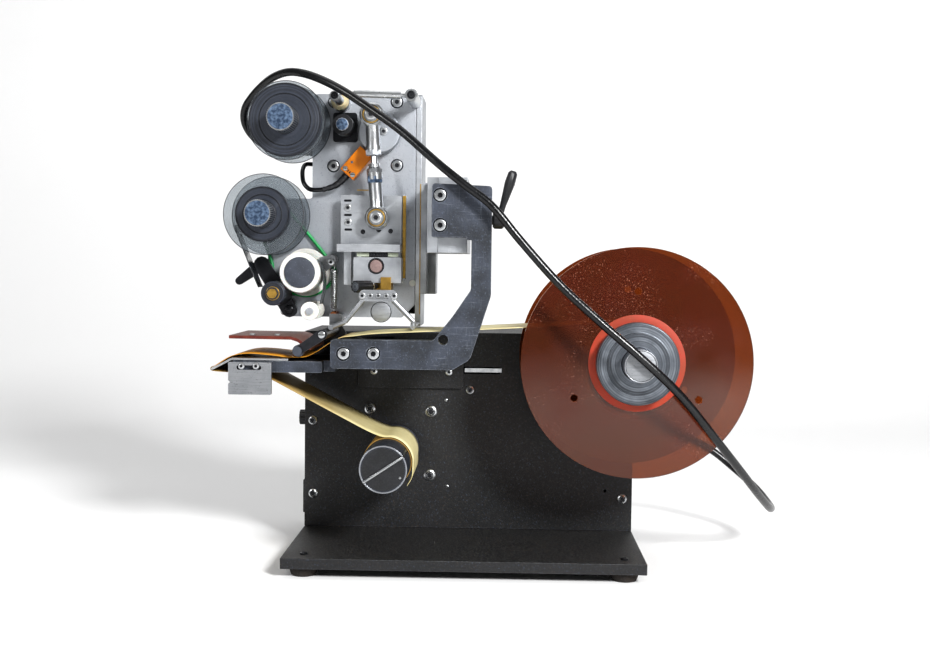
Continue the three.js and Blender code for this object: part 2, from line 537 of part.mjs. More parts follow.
// C-shaped arm, a plain plate with counterbored screw holes
const arm = { front: -111, back: -96, left: -112.6, limbTop: 195.6, low: 171.3, toeX: -11.4, headLeft: -29.5,
  headTop: 325.2, right: 20, rightTop: 323.3, kneeX: 3.4, kneeZ: 180.1, bendZ: 233, mouthTop: 281, step: 2,
  stepLong: 4, inner: 3.4, innerLowZ: 237.9, throatX: -11.1, throatZ: 216.3, limbEnd: -27.4, hole: 4.2,
  holeX: -19.1, holeZ: 196.3, corner: 3, toe: 6, knee: 12, bend: 14, mouth: 1.5, throat: 6, limbCorner: 5 };
const armScrews = [[-101.8, 183.7], [-76.9, 184], [-22.8, 315.5], [-22.6, 290.9]];
const counterbore = { radius: 5.7, depth: 7, hole: 3.3 };
function makeArm() {
  const stepZ = arm.mouthTop - arm.step;
  const stepX = arm.inner - arm.stepLong;
  const shape = outline([[arm.left, arm.low, arm.corner], [arm.toeX, arm.low, arm.toe],
    [arm.kneeX, arm.kneeZ, arm.knee], [arm.right, arm.bendZ, arm.bend], [arm.right, arm.rightTop,
    arm.corner], [arm.headLeft, arm.headTop, arm.corner], [arm.headLeft, arm.mouthTop, arm.mouth],
    [stepX, arm.mouthTop], [stepX, stepZ], [arm.inner, stepZ], [arm.inner, arm.innerLowZ, arm.throat],
    [arm.throatX, arm.throatZ, arm.throat], [arm.limbEnd, arm.limbTop, arm.limbCorner],
    [arm.left, arm.limbTop, arm.corner]]);
  const holes = armScrews.map(([x, z]) => circle(x, z, counterbore.hole, 10));
  holes.push(circle(arm.holeX, arm.holeZ, arm.hole, 12));
  const sinks = armScrews.map(([x, z]) =>
    pinY(counterbore.radius, arm.front - overrun, arm.front + counterbore.depth, x, z, 14));
  add('c_arm', cut(plateY(shape, arm.front, arm.back, holes), ...sinks), 'charcoal');
}

// Column block with the dovetail groove, and the clamp lever whose stud presses the rail
const column = { left: -34.3, right: -0.5, low: 268.2, high: 331.2, front: arm.back + seat, back: 22,
  deepLeft: -38.1, deepFront: -26, step: -25, stepDepth: 1.5 };
const dovetail = { front: -12, back: 10, flare: 5, floor: -30, play: 0.6 };
const lever = { y: -65, z: 297, stud: 4, studEnd: -20, hubStart: 20.4, hubEnd: 30, hub: 7.5, bevel: 1.5,
  tipX: 37.7, tipZ: 338.9, grip: 3, play: 2 };
// The lever's shape: each pair is a share of its grip radius and a share of its reach.
const leverShares = [[0.9, 0], [0.9, 0.3], [1.5, 0.75], [1.35, 0.95], [0.8, 1]];
function makeColumn() {
  const face = [[column.right, column.front], [column.right, column.back], [column.deepLeft, column.back],
    [column.deepLeft, dovetail.back], [dovetail.floor, dovetail.back + dovetail.flare],
    [dovetail.floor, dovetail.front - dovetail.flare], [column.deepLeft, dovetail.front],
    [column.deepLeft, column.deepFront], [column.left, column.deepFront],
    [column.left, column.front + column.stepDepth], [column.step, column.front + column.stepDepth],
    [column.step, column.front]].map(([x, y]) => vec2(x, y));
  const at = (x) => vec3(x, lever.y, lever.z);
  const bore = bar(lever.stud + run, at(lever.studEnd - lever.play), at(column.right + overrun), 16);
  add('column_block', cut(plateZ(face, column.low, column.high), bore), 'aluminium');
  const stud = bar(lever.stud, at(lever.studEnd), at(lever.hubStart + sink), 16);
  const wide = lever.hubEnd - lever.hubStart;
  const hub = turned([[lever.hub - lever.bevel, 0], [lever.hub, lever.bevel], [lever.hub,
    wide - lever.bevel], [lever.hub - lever.bevel, wide]], at(lever.hubStart), right, 16);
  const from = at(lever.hubStart + wide / 2);
  const to = vec3(lever.tipX, lever.y, lever.tipZ);
  const reach = to.distanceTo(from);
  const profile = leverShares.map(([wideShare, reachShare]) => [lever.grip * wideShare, reach * reachShare]);
  const handle = turned(profile, from, to.clone().sub(from).normalize(), 10);
  add('clamp_lever', join(stud, hub, handle), 'blackPlastic');
}

// Axes on the head, all along Y. The crank is the head's datum: every other height on the head is a drop
// below its axis or a rise above it, and becomes a height here.
const crank = { x: -80.4, z: 374.5, disc: 18.7, front: -35, rear: -25, shaft: 5, shaftEnd: 0, throw: 14,
  rest: 22.3, bevel: 1 };
function hang(piece) {
  for (const [name, distance] of Object.entries(piece)) {
    if (name.endsWith('Drop')) piece[name.slice(0, -'Drop'.length)] = crank.z - distance;
    if (name.endsWith('Rise')) piece[name.slice(0, -'Rise'.length)] = crank.z + distance;
  }
  return piece;
}
const upper = hang({ x: -158, zRise: 6, disc: 34, hub: 31.5, hubFront: -70, core: 22, spigot: 19,
  knob: 11.7 });
const lower = hang({ x: -177, zDrop: 74.5, disc: 35, hub: 23.8, hubFront: -70, core: 16, spigot: 13,
  knob: 11.3 });
const spool = { shaft: 5, knobFront: -94, rear: -26, sheet: 2, frontFace: -64.5, collar: 8, collarBack: -9,
  bevel: 1 };
const feed = hang({ x: -145.9, zDrop: 124.2, roller: 17.6, front: -62, rear: -30, cap: 12, capFront: -62.8,
  shaft: 4, belt: 20.6, flange: 21.2, bevel: 0.8 });
const beltDrive = { y: -23, radius: 1.5, lowerRadius: 13.9, lowerFlange: 14.6, groove: 1.8, front: -25.6,
  back: -20.5, play: 0.6, lift: 0.1 };
const idler = hang({ x: -111.4, zRise: 4.7, radius: 9, pin: 2, front: -46, rear: -21, head: 5.5,
  headFront: -50 });
const foilWheel = hang({ x: -137, zDrop: 157.5, flange: 8, core: 3.6, pin: 1.7, front: -62, rear: -23,
  sheet: 3, head: 3.2, headFront: -64 });
const pinch = hang({ pivotX: -160, pivotZDrop: 157.5, stud: 3, x: -167.7, zDrop: 142.4, radius: 10.5,
  front: -70, rear: -30, pin: 2.5, armFront: -29.7, armBack: -25.2, boss: 7, elbowX: -185,
  elbowZDrop: 117.5, tipX: -205, tipZDrop: 132.5, nut: 5.4, nutFront: -73, bevel: 1, heel: 5.6, tip: 3.5 });
const headMotor = hang({ x: -94.2, zDrop: 2.5, half: 32, depth: 38.7, motor: 32, length: 70, pilot: 14.7,
  pilotSink: 1, corner: 4 });

// Head plate with the slide guides and the fixed pins
const plate = hang({ front: -20, back: -14, topRise: 34.5, right: -49, neck: -141.3, shoulderDrop: 58.5,
  left: -181, bottomDrop: 163.9, chamfer: 18.3, chamferRight: 11.5, upperEar: 16, lowerEar: 14, corner: 2,
  neckCorner: 5, leftCorner: 3, earShare: 1.2 });
const slideGuide = hang({ left: -106, leftInner: -100, rightInner: -62.7, gibInner: -59.5, right: -57,
  lowDrop: 129.5, highDrop: 54.9, front: -29.7, gibFront: -34 });
function makeHeadPlate() {
  const main = outline([[plate.left + plate.chamfer, plate.bottom, plate.corner],
    [plate.right - plate.chamferRight, plate.bottom, plate.corner],
    [plate.right, plate.bottom + plate.chamferRight, plate.corner], [plate.right, plate.top, plate.corner],
    [plate.neck, plate.top, plate.neckCorner], [plate.neck, plate.shoulder, plate.corner],
    [plate.left, plate.shoulder, plate.leftCorner], [plate.left, plate.bottom + plate.chamfer,
    plate.corner]], 3);
  const { front, back } = plate;
  const tab = (axis, radius) =>
    plateY(link([axis.x, axis.z, radius], [axis.x + radius * plate.earShare, axis.z, radius]), front, back);
  const hole = (axis, radius, sides = 16) =>
    pinY(radius + run, front - overrun, back + overrun, axis.x, axis.z, sides);
  const flat = cut(join(plateY(main, front, back), tab(upper, plate.upperEar), tab(lower, plate.lowerEar)),
    hole(upper, spool.shaft), hole(lower, spool.shaft), hole(feed, feed.shaft),
    hole(crank, headMotor.pilot, 28));
  const guideRail = (x0, x1, near) => plateY(box(x0, x1, slideGuide.low, slideGuide.high), near,
    front + sink);
  const pinchStud = pinY(pinch.stud, pinch.armFront - seat, front + sink, pinch.pivotX, pinch.pivotZ, 14);
  const headed = (axis) => turnedY([[axis.head, axis.headFront], [axis.head, axis.front - seat],
    [axis.pin, axis.front - seat], [axis.pin, front + sink]], axis.x, axis.z, 12);
  add('head_plate', join(flat, guideRail(slideGuide.left, slideGuide.leftInner, slideGuide.front),
    guideRail(slideGuide.rightInner, slideGuide.right, slideGuide.front),
    guideRail(slideGuide.gibInner, slideGuide.right, slideGuide.gibFront), pinchStud, headed(idler),
    headed(foilWheel)), 'aluminium');
}

// Side plate with the dovetail rail that runs in the column block
const sidePlate = hang({ left: plate.right + seat, sheet: 5, front: plate.front, back: 40, lowDrop: 171.5,
  top: plate.top, railFront: -20, railBack: 20, railLowDrop: 142.5, railHighDrop: 43.5 });
sidePlate.right = sidePlate.left + sidePlate.sheet;
sidePlate.railFace = column.deepLeft - seat;
function makeSideRail() {
  const flat = plateX(box(sidePlate.front, sidePlate.back, sidePlate.low, sidePlate.top, plate.corner),
    sidePlate.left, sidePlate.right);
  const { play, flare } = dovetail;
  const deep = dovetail.floor - seat;
  const root = sidePlate.right - sink;
  const face = sidePlate.railFace;
  const rail = [[root, sidePlate.railFront], [face, sidePlate.railFront], [face, dovetail.front + play],
    [deep, dovetail.front - flare + play], [deep, dovetail.back + flare - play],
    [face, dovetail.back - play], [face, sidePlate.railBack], [root, sidePlate.railBack]].map(([x, y]) =>
    vec2(x, y));
  add('side_rail', join(flat, plateZ(rail, sidePlate.railLow, sidePlate.railHigh)), 'aluminium');
}

// Rear cover of the head with the cord bush, and the head gearmotor that drives the crank
const hood = hang({ left: -134, right: plate.right, lowDrop: 160.5, top: plate.top, front: plate.back
  + seat, back: 40, sheet: 1.5 });
const bush = hang({ y: 14, zDrop: 12.5, radius: 7, length: 8, tip: 5, taperShare: 0.5 });
function makeHeadRear() {
  const shell = plateY(box(hood.left, hood.right, hood.low, hood.top), hood.front, hood.back);
  const inner = plateY(box(hood.left + hood.sheet, hood.right - hood.sheet, hood.low + hood.sheet,
    hood.top - hood.sheet), hood.front - overrun, hood.back - hood.sheet);
  const motorHole = pinY(headMotor.motor + run, hood.back - hood.sheet - overrun, hood.back + overrun,
    headMotor.x, headMotor.z, 28);
  const cordBush = turned([[bush.radius, 0], [bush.radius, bush.length * bush.taperShare],
    [bush.tip, bush.length]], vec3(hood.left + sink, bush.y, bush.z), right.clone().negate(), 16);
  add('head_rear_cover', join(cut(shell, inner, motorHole), cordBush), 'blackSheet');
  const rear = hood.front + headMotor.depth;
  const gearhead = plateY(box(headMotor.x - headMotor.half, headMotor.x + headMotor.half,
    headMotor.z - headMotor.half, headMotor.z + headMotor.half, headMotor.corner), hood.front, rear);
  const pilot = pinY(headMotor.pilot, plate.front + headMotor.pilotSink, hood.front + sink, crank.x,
    crank.z, 20);
  const motor = pinY(headMotor.motor, rear - sink, rear + headMotor.length, headMotor.x, headMotor.z, 28);
  const bore = pinY(crank.shaft + run, plate.front, crank.shaftEnd + seat, crank.x, crank.z, 16);
  add('head_gearmotor', cut(join(gearhead, pilot, motor), bore), 'steel');
}

// Foil spools: knurled knob, turned hub, core, rear disc and shaft in one, with a loose clear disc in front
function makeSpools() {
  const shaftEnd = [[spool.shaft, plate.back + seat], [spool.collar, plate.back + seat],
    [spool.collar, spool.collarBack]];
  const clearBack = spool.frontFace + spool.sheet + seat;
  const hubRear = spool.frontFace - seat;
  const body = (axis, rearProfile) => turnedY([[axis.knob - spool.bevel, spool.knobFront],
    [axis.knob, spool.knobFront + spool.bevel], [axis.knob, axis.hubFront],
    [axis.hub - spool.bevel, axis.hubFront],
    [axis.hub, axis.hubFront + spool.bevel], [axis.hub, hubRear], [axis.spigot, hubRear], [axis.spigot,
    clearBack], [axis.core, clearBack], [axis.core, spool.rear - spool.sheet], [axis.disc,
    spool.rear - spool.sheet], [axis.disc, spool.rear], ...rearProfile], axis.x, axis.z, 20);
  add('upper_spool', body(upper, [[spool.shaft, spool.rear], ...shaftEnd]), 'spool');
  const { front, back, lowerFlange, lowerRadius, groove } = beltDrive;
  const [near, away] = [beltDrive.y - groove, beltDrive.y + groove];
  const floor = lowerRadius - beltDrive.radius - beltDrive.play;
  const pulley = [[lowerFlange, spool.rear], [lowerFlange, near], [floor, near], [floor, away],
    [lowerFlange, away], [lowerFlange, back], [spool.shaft, back]];
  add('lower_spool', body(lower, [...pulley, ...shaftEnd]), 'spool');
  for (const [name, axis] of [['upper_disc_front', upper], ['lower_disc_front', lower]]) {
    const disc = ringY(axis.disc, axis.spigot + run, spool.frontFace, spool.frontFace + spool.sheet, axis.x,
      axis.z, 28);
    add(name, disc, 'clear');
  }
  const feedFloor = feed.belt - beltDrive.radius - beltDrive.play;
  const feedBody = turnedY([[feed.cap, feed.capFront], [feed.cap, feed.front], [feed.roller - feed.bevel,
    feed.front], [feed.roller, feed.front + feed.bevel], [feed.roller, feed.rear], [feed.shaft, feed.rear],
    [feed.shaft, front], [feed.flange, front], [feed.flange, near], [feedFloor, near], [feedFloor, away],
    [feed.flange, away], [feed.flange, back], [feed.shaft, back], [feed.shaft, plate.back + seat],
    [spool.collar, plate.back + seat], [spool.collar, spool.collarBack]], feed.x, feed.z, 18);
  add('feed_roller', feedBody, 'white');
}

// Round belt between the feed pulley and the lower spool, slack where it leaves the feed pulley.
// Each share is the distance from the feed axis over the belt's pulley radius, at an angle in degrees.
const beltSlackShares = [[168, 1.52], [182, 1.47], [200, 1.36], [218, 1.22], [236, 1.09], [254, 1.03],
  [272, 1.02], [290, 1.02], [308, 1.04], [324, 1.1], [340, 1.18], [355, 1.24], [370, 1.22], [382, 1.15]];
const beltTopAngles = [39, 70, 100, 130, 160, 185];
function makeBelt() {
  const top = beltTopAngles.map((degrees) =>
    around(lower.x, lower.z, beltDrive.lowerRadius + beltDrive.lift, degrees));
  const slack = beltSlackShares.map(([degrees, share]) => around(feed.x, feed.z, feed.belt * share,
    degrees));
  const points = [...top, ...slack].map(([x, z]) => vec3(x, beltDrive.y, z));
  const loop = new THREE.CatmullRomCurve3(points, true, 'centripetal');
  add('drive_belt', toSolid(new THREE.TubeGeometry(loop, 54, beltDrive.radius, 5, true)), 'green');
}

// Pinch arm with its roller, the foil wheel and the idler
function makePinch() {
  const { armFront, armBack, boss, pin, front, rear } = pinch;
  const leg = plateY(link([pinch.pivotX, pinch.pivotZ, boss], [pinch.elbowX, pinch.elbowZ, boss]), armFront,
    armBack);
  const handle = plateY(link([pinch.elbowX, pinch.elbowZ, pinch.heel], [pinch.tipX, pinch.tipZ, pinch.tip]),
    armFront, armBack);
  const pivotBore = pinY(pinch.stud + run, armFront - overrun, armBack + overrun, pinch.pivotX,
    pinch.pivotZ, 14);
  const pinBore = pinY(pin + run, armFront - overrun, armBack + overrun, pinch.x, pinch.z, 14);
  add('pinch_arm', cut(join(leg, handle), pivotBore, pinBore), 'blackPlastic');
  const roller = turnedY([[pinch.nut, pinch.nutFront], [pinch.nut, front], [pinch.radius - pinch.bevel,
    front], [pinch.radius, front + pinch.bevel], [pinch.radius, rear], [pin, rear], [pin, armBack]],
    pinch.x, pinch.z, 18);
  add('pinch_roller', roller, 'blackPlastic');
  const wheel = foilWheel;
  const bore = wheel.pin + run;
  const frontLip = wheel.front + wheel.sheet;
  const rearLip = wheel.rear - wheel.sheet;
  const profile = [[bore, wheel.front], [wheel.flange, wheel.front], [wheel.flange, frontLip],
    [wheel.core, frontLip], [wheel.core, rearLip], [wheel.flange, rearLip], [wheel.flange, wheel.rear],
    [bore, wheel.rear]];
  add('foil_guide_roller', hollowY(profile, wheel.x, wheel.z, 16), 'white');
  const drum = ringY(idler.radius, idler.pin + run, idler.front, idler.rear, idler.x, idler.z, 24);
  add('foil_idler', drum, 'blackPlastic');
}

// Foil guide frame: strip, two legs, two rods and the black block on the head plate
const frame = hang({ front: -83, back: -79, stripLeft: -92, stripRight: -59.7, stripLowDrop: 147.9,
  stripHighDrop: 138.1, corner: 4, leg: 2.2, inset: 4, rise: 2, leftKneeX: -104, leftKneeZDrop: 165.7,
  rightKneeX: -45.6, rightKneeZDrop: 164.5 });
const frameRod = hang({ leftX: -115.9, leftZDrop: 170.3, left: 2.25, rightX: -46.2, rightZDrop: 169.2,
  right: 2.1 });
const frameBlock = hang({ left: -123, right: -111.5, lowDrop: 170.9, topDrop: 160.5, front: -39,
  back: plate.front - seat, corner: 1 });
function makeFoilFrame() {
  const y = (frame.front + frame.back) / 2;
  const leg = (x0, z0, x1, z1) => bar(frame.leg, vec3(x0, y, z0), vec3(x1, y, z1), 8);
  const face = plateY(box(frame.stripLeft, frame.stripRight, frame.stripLow, frame.stripHigh, frame.corner),
    frame.front, frame.back);
  const z = frame.stripLow + frame.rise;
  const legs = join(leg(frame.stripLeft + frame.inset, z, frame.leftKneeX, frame.leftKneeZ),
    leg(frame.leftKneeX, frame.leftKneeZ, frameRod.leftX, frameRod.leftZ),
    leg(frame.stripRight - frame.inset, z, frame.rightKneeX, frame.rightKneeZ),
    leg(frame.rightKneeX, frame.rightKneeZ, frameRod.rightX, frameRod.rightZ));
  const leftRod = pinY(frameRod.left, frame.front, frameBlock.front + sink, frameRod.leftX, frameRod.leftZ,
    12);
  const rightRod = pinY(frameRod.right, frame.front, plate.front - seat, frameRod.rightX, frameRod.rightZ,
    12);
  const block = plateY(box(frameBlock.left, frameBlock.right, frameBlock.low, frameBlock.top,
    frameBlock.corner), frameBlock.front, frameBlock.back);
  add('foil_guide_frame', join(face, legs, leftRod, rightRod, block), 'steel');
}

// Feed lever on the feed shaft and the long tension spring that pulls it down
const feedLever = hang({ front: -29.3, back: -26.1, boss: 9, tipX: -121.6, tipZDrop: 112.7, tip: 5, stud: 2,
  head: 4.3, headFront: -40.4, headSheet: 2 });
const spring = { coils: 21.5, steps: 6, sides: 4, radius: 2.8, wire: 0.45, y: -34.5, x: -119.6, lead: 1.4 };
function makeFeedLever() {
  const face = link([feed.x, feed.z, feedLever.boss], [feedLever.tipX, feedLever.tipZ, feedLever.tip]);
  const bore = pinY(feed.shaft + run, feedLever.front - overrun, feedLever.back + overrun, feed.x, feed.z,
    20);
  const headBack = feedLever.headFront + feedLever.headSheet;
  const stud = turnedY([[feedLever.head, feedLever.headFront], [feedLever.head, headBack],
    [feedLever.stud, headBack], [feedLever.stud, feedLever.front + sink]], feedLever.tipX, feedLever.tipZ,
    16);
  add('feed_lever', join(cut(plateY(face, feedLever.front, feedLever.back), bore), stud), 'steel');
}

// A wire swept along the spring's points, with rings square to the wire and closed ends.
function springWire(points) {
  const { sides, wire } = spring;
  const places = [];
  const corners = [];
  points.forEach((point, i) => {
    const before = points[Math.max(i - 1, 0)];
    const after = points[Math.min(i + 1, points.length - 1)];
    const along = after.clone().sub(before).normalize();
    const out = vec3(point.x - spring.x, point.y - spring.y, 0).normalize();
    const side = along.clone().cross(out).normalize();
    const rim = side.clone().cross(along).normalize();
    for (let k = 0; k < sides; k += 1) {
      const angle = (2 * Math.PI * k) / sides;
      const at = point.clone().addScaledVector(rim, wire * Math.cos(angle));
      at.addScaledVector(side, wire * Math.sin(angle));
      places.push(at.x, at.y, at.z);
    }
  });
  const last = (points.length - 1) * sides;
  for (let ring = 0; ring < last; ring += sides) {
    for (let k = 0; k < sides; k += 1) {
      const [a, b] = [ring + k, ring + ((k + 1) % sides)];
      corners.push(a, b, b + sides, a, b + sides, a + sides);
    }
  }
  for (let k = 1; k < sides - 1; k += 1) corners.push(0, k + 1, k, last, last + k, last + k + 1);
  const geometry = new THREE.BufferGeometry();
  geometry.setAttribute('position', new THREE.BufferAttribute(new Float32Array(places), 3));
  geometry.setIndex(corners);
  return toSolid(geometry);
}
function makeSpring() {
  const low = frameBlock.top + seat;
  const high = feedLever.tipZ - feedLever.stud - seat;
  const [first, last] = [low + spring.lead, high - spring.lead];
  const count = spring.coils * spring.steps;
  const at = (angle, z) => vec3(spring.x + spring.radius * Math.cos(angle),
    spring.y + spring.radius * Math.sin(angle), z);
  const points = [at(0, low)];
  for (let k = 0; k <= count; k += 1) {
    points.push(at((2 * Math.PI * k) / spring.steps, first + ((last - first) * k) / count));
  }
  points.push(at((2 * Math.PI * count) / spring.steps, high));
  let least = Infinity;
  points.forEach((point, i) => {
    for (let k = i + spring.steps - 2; k < points.length; k += 1) least = Math.min(least,
      point.distanceTo(points[k]));
  });
  console.log(`feed spring: least gap between its curls ${(least - 2 * spring.wire).toFixed(2)} mm`);
  add('feed_spring', springWire(points), 'steel');
}

// Two pillars at the top of the head plate with the tie rod and its sleeve
const pillar = hang({ front: -72, leftX: -115.3, leftZRise: 26.5, left: 4.4, collar: 8.4, collarFront: -34,
  collarTaper: 3, rightX: -50, rightZRise: 27.5, right: 5.5, bevel: 0.6, tieY: -66, tie: 1.8, tieLift: 3,
  sleeve: 3.2, sleeveShares: [0.24, 0.86] });
function makePillars() {
  const rear = plate.front - seat;
  const { bevel } = pillar;
  const leftPillar = turnedY([[pillar.left - bevel, pillar.front], [pillar.left, pillar.front + bevel],
    [pillar.left, pillar.collarFront], [pillar.collar, pillar.collarFront + pillar.collarTaper],
    [pillar.collar, rear]], pillar.leftX, pillar.leftZ, 14);
  const rightPillar = turnedY([[pillar.right - bevel, pillar.front], [pillar.right, pillar.front + bevel],
    [pillar.right, rear]], pillar.rightX, pillar.rightZ, 14);
  const a = vec3(pillar.leftX, pillar.tieY, pillar.leftZ + pillar.tieLift);
  const b = vec3(pillar.rightX, pillar.tieY, pillar.rightZ);
  const [start, end] = pillar.sleeveShares.map((share) => a.clone().lerp(b, share));
  const tie = join(bar(pillar.tie, a, b, 10), bar(pillar.sleeve, start, end, 12));
  add('top_tie_bar', join(leftPillar, rightPillar, tie), 'steel');
}

// Press: crank disc, adjustable connecting rod, slide, heater block, type holder and thumb screw
const eye = { radius: 10.5, front: -54, back: -42, pin: 3, head: 5, headFront: -58, spacer: 5, bevel: 1.5,
  neck: 6.3 };
const pressSlide = hang({ front: -36, back: -30, left: -113.7, right: -59.9, lowDrop: 105.8, highDrop: 56,
  flangeTopDrop: 99.3, flangeFront: -60, flangeLeft: -114.1, flangeRight: -59.3, tongueLowDrop: 98,
  corner: 1, flangeCorner: 0.6 });
const slidePin = hang({ x: -80.6, zDrop: 76.1 });
const crankPin = {
  x: crank.x - crank.throw * Math.sin(turnOf(crank.rest)),
  z: crank.z + crank.throw * Math.cos(turnOf(crank.rest)),
};
const rodLength = Math.hypot(crankPin.x - slidePin.x, crankPin.z - slidePin.z);
const couplingRod = { shank: 6, knurlEnd: 33.3, nutEnd: 39.5, nut: 6.8, stud: 3, studStart: 39.8,
  studEnd: 56.9, smallNut: 5, smallNutAt: 43.5, smallNutLong: 3.6, upperNut: 57.2, upperNutEnd: 62.4 };
function makeCrank() {
  const disc = turnedY([[crank.disc - crank.bevel, crank.front], [crank.disc, crank.front + crank.bevel],
    [crank.disc, crank.rear], [crank.shaft, crank.rear], [crank.shaft, crank.shaftEnd]], crank.x, crank.z,
    28);
  add('crank_disc', disc, 'aluminium');
}
function makeRod() {
  const heel = vec3(slidePin.x, (eye.front + eye.back) / 2, slidePin.z);
  const along = vec3(crankPin.x, heel.y, crankPin.z).sub(heel).normalize();
  const { shank, nut, stud, smallNut, smallNutAt, knurlEnd, nutEnd, upperNut, upperNutEnd } = couplingRod;
  const { radius, bevel } = eye;
  const ring = (pin) => turnedY([[radius - bevel, eye.front], [radius, eye.front + bevel],
    [radius, eye.back - bevel], [radius - bevel, eye.back]], pin.x, pin.z, 18);
  const lowerBody = turned([[shank, eye.neck], [shank, knurlEnd], [nut, knurlEnd], [nut, nutEnd]], heel,
    along, 12);
  const bore = pinY(eye.pin + run, eye.front - overrun, eye.back + overrun, slidePin.x, slidePin.z, 16);
  add('lower_rod_end', cut(join(ring(slidePin), lowerBody), bore), 'steel');
  const smallNutEnd = smallNutAt + couplingRod.smallNutLong;
  const coupler = turned([[stud, couplingRod.studStart], [stud, smallNutAt], [smallNut, smallNutAt],
    [smallNut, smallNutEnd], [stud, smallNutEnd], [stud, couplingRod.studEnd]], heel, along, 12);
  add('rod_coupler', coupler, 'steel');
  const upperBody = turned([[nut, upperNut], [nut, upperNutEnd], [shank, upperNutEnd],
    [shank, rodLength - eye.neck]], heel, along, 12);
  const pin = turnedY([[eye.head, eye.headFront], [eye.head, eye.front + sink], [eye.pin, eye.front + sink],
    [eye.pin, eye.back - sink], [eye.spacer, eye.back - sink], [eye.spacer, crank.front - seat]], crankPin.x,
  crankPin.z, 16);
  add('upper_rod_end', join(ring(crankPin), upperBody, pin), 'steel');
}
const trip = hang({ left: -109.5, right: -103, lowDrop: 134.5, front: -46, back: -40 });
const heater = hang({ left: -100, right: -58.5, lowDrop: 132.5, highDrop: 110.3, front: -56, back: -36,
  boreX: -80.3, boreZDrop: 117.9, bore: 6.7, post: 4, postInset: 5, corner: 1 });
const holder = hang({ left: -83.7, right: -67.1, lowDrop: 138.5, front: -57, back: -34.5, lipLeft: -76,
  lip: 3, lipTopDrop: 127.5, cornerY: -50.8 });
const thumb = { shank: 2.2, shankEnd: 8, radius: 5.5, end: 26, ribs: 10, rib: 0.8 };
function makePress() {
  const { left, right: far, low, high, front, back } = pressSlide;
  const face = plateY(box(left, far, low, high, pressSlide.corner), front, back);
  const flange = plateY(box(pressSlide.flangeLeft, pressSlide.flangeRight, low, pressSlide.flangeTop,
    pressSlide.flangeCorner),
    pressSlide.flangeFront, front + sink);
  const tongue = plateY(box(slideGuide.leftInner + seat, slideGuide.rightInner - seat, pressSlide.tongueLow,
    high), back - sink, plate.front - seat);
  const pin = turnedY([[eye.head, eye.headFront], [eye.head, eye.front - seat], [eye.pin, eye.front - seat],
    [eye.pin, eye.back + seat], [eye.spacer, eye.back + seat], [eye.spacer, front + sink]], slidePin.x,
  slidePin.z, 16);
  const tripBar = plateY(box(trip.left, trip.right, trip.low, low + sink), trip.front, trip.back);
  add('press_slide', join(face, flange, tongue, pin, tripBar), 'aluminium');

  const block = plateY(box(heater.left, heater.right, heater.low, heater.high, heater.corner), heater.front,
    heater.back);
  const bore = pinY(heater.bore, heater.front - overrun, heater.back + overrun, heater.boreX, heater.boreZ,
    20);
  const posts = [];
  for (const x of [heater.left + heater.postInset, heater.right - heater.postInset]) {
    for (const y of [heater.front + heater.postInset, heater.back - heater.postInset]) {
      posts.push(bar(heater.post, vec3(x, y, heater.high - sink), vec3(x, y, low - seat), 10));
    }
  }
  add('heater_block', join(cut(block, bore), ...posts), 'steel');

  const top = heater.low - seat;
  const footprint = [[holder.left, holder.back], [holder.left, holder.cornerY], [holder.lipLeft,
    holder.front], [holder.right, holder.front], [holder.right, holder.back]].map(([x, y]) => vec2(x, y));
  const lipBack = heater.front - seat;
  const lip = plateY(box(holder.lipLeft, holder.right, holder.low, holder.lipTop), lipBack - holder.lip,
    lipBack);
  add('type_holder', join(plateZ(footprint, holder.low, top), lip), 'brass');

  const slant = vec3(holder.left - holder.lipLeft, holder.cornerY - holder.front, 0).normalize();
  const out = vec3(-slant.y, slant.x, 0);
  const start = vec3((holder.left + holder.lipLeft) / 2, (holder.cornerY + holder.front) / 2,
    (holder.low + top) / 2);
  start.addScaledVector(out, seat);
  const shank = turned([[thumb.shank, 0], [thumb.shank, thumb.shankEnd + sink]], start, out, 12);
  const grip = [];
  for (let k = 0; k < 2 * thumb.ribs; k += 1) {
    grip.push(vec2(...around(0, 0, thumb.radius - (k % 2) * thumb.rib, (180 * k) / thumb.ribs)));
  }
  const knobShape = extruded(grip, [], thumb.end - thumb.shankEnd);
  knobShape.applyQuaternion(new THREE.Quaternion().setFromUnitVectors(up, out));
  const at = start.clone().addScaledVector(out, thumb.shankEnd);
  add('thumb_screw', join(shank, toSolid(knobShape.translate(at.x, at.y, at.z))), 'blackPlastic');
}

// Position sensor beside the crank disc, on its bracket
const sensor = hang({ x: -100.4, zDrop: 27.4, long: 26.8, wide: 15, corner: 0.5, tilt: 49.2, front: -34 });
function makeSensor() {
  const face = box(-sensor.long / 2, sensor.long / 2, -sensor.wide / 2, sensor.wide / 2, sensor.corner);
  face.forEach((point) => point.rotateAround(middle, turnOf(sensor.tilt)).add(vec2(sensor.x, sensor.z)));
  add('position_sensor', plateY(face, sensor.front, plate.front - seat), 'orange');
}

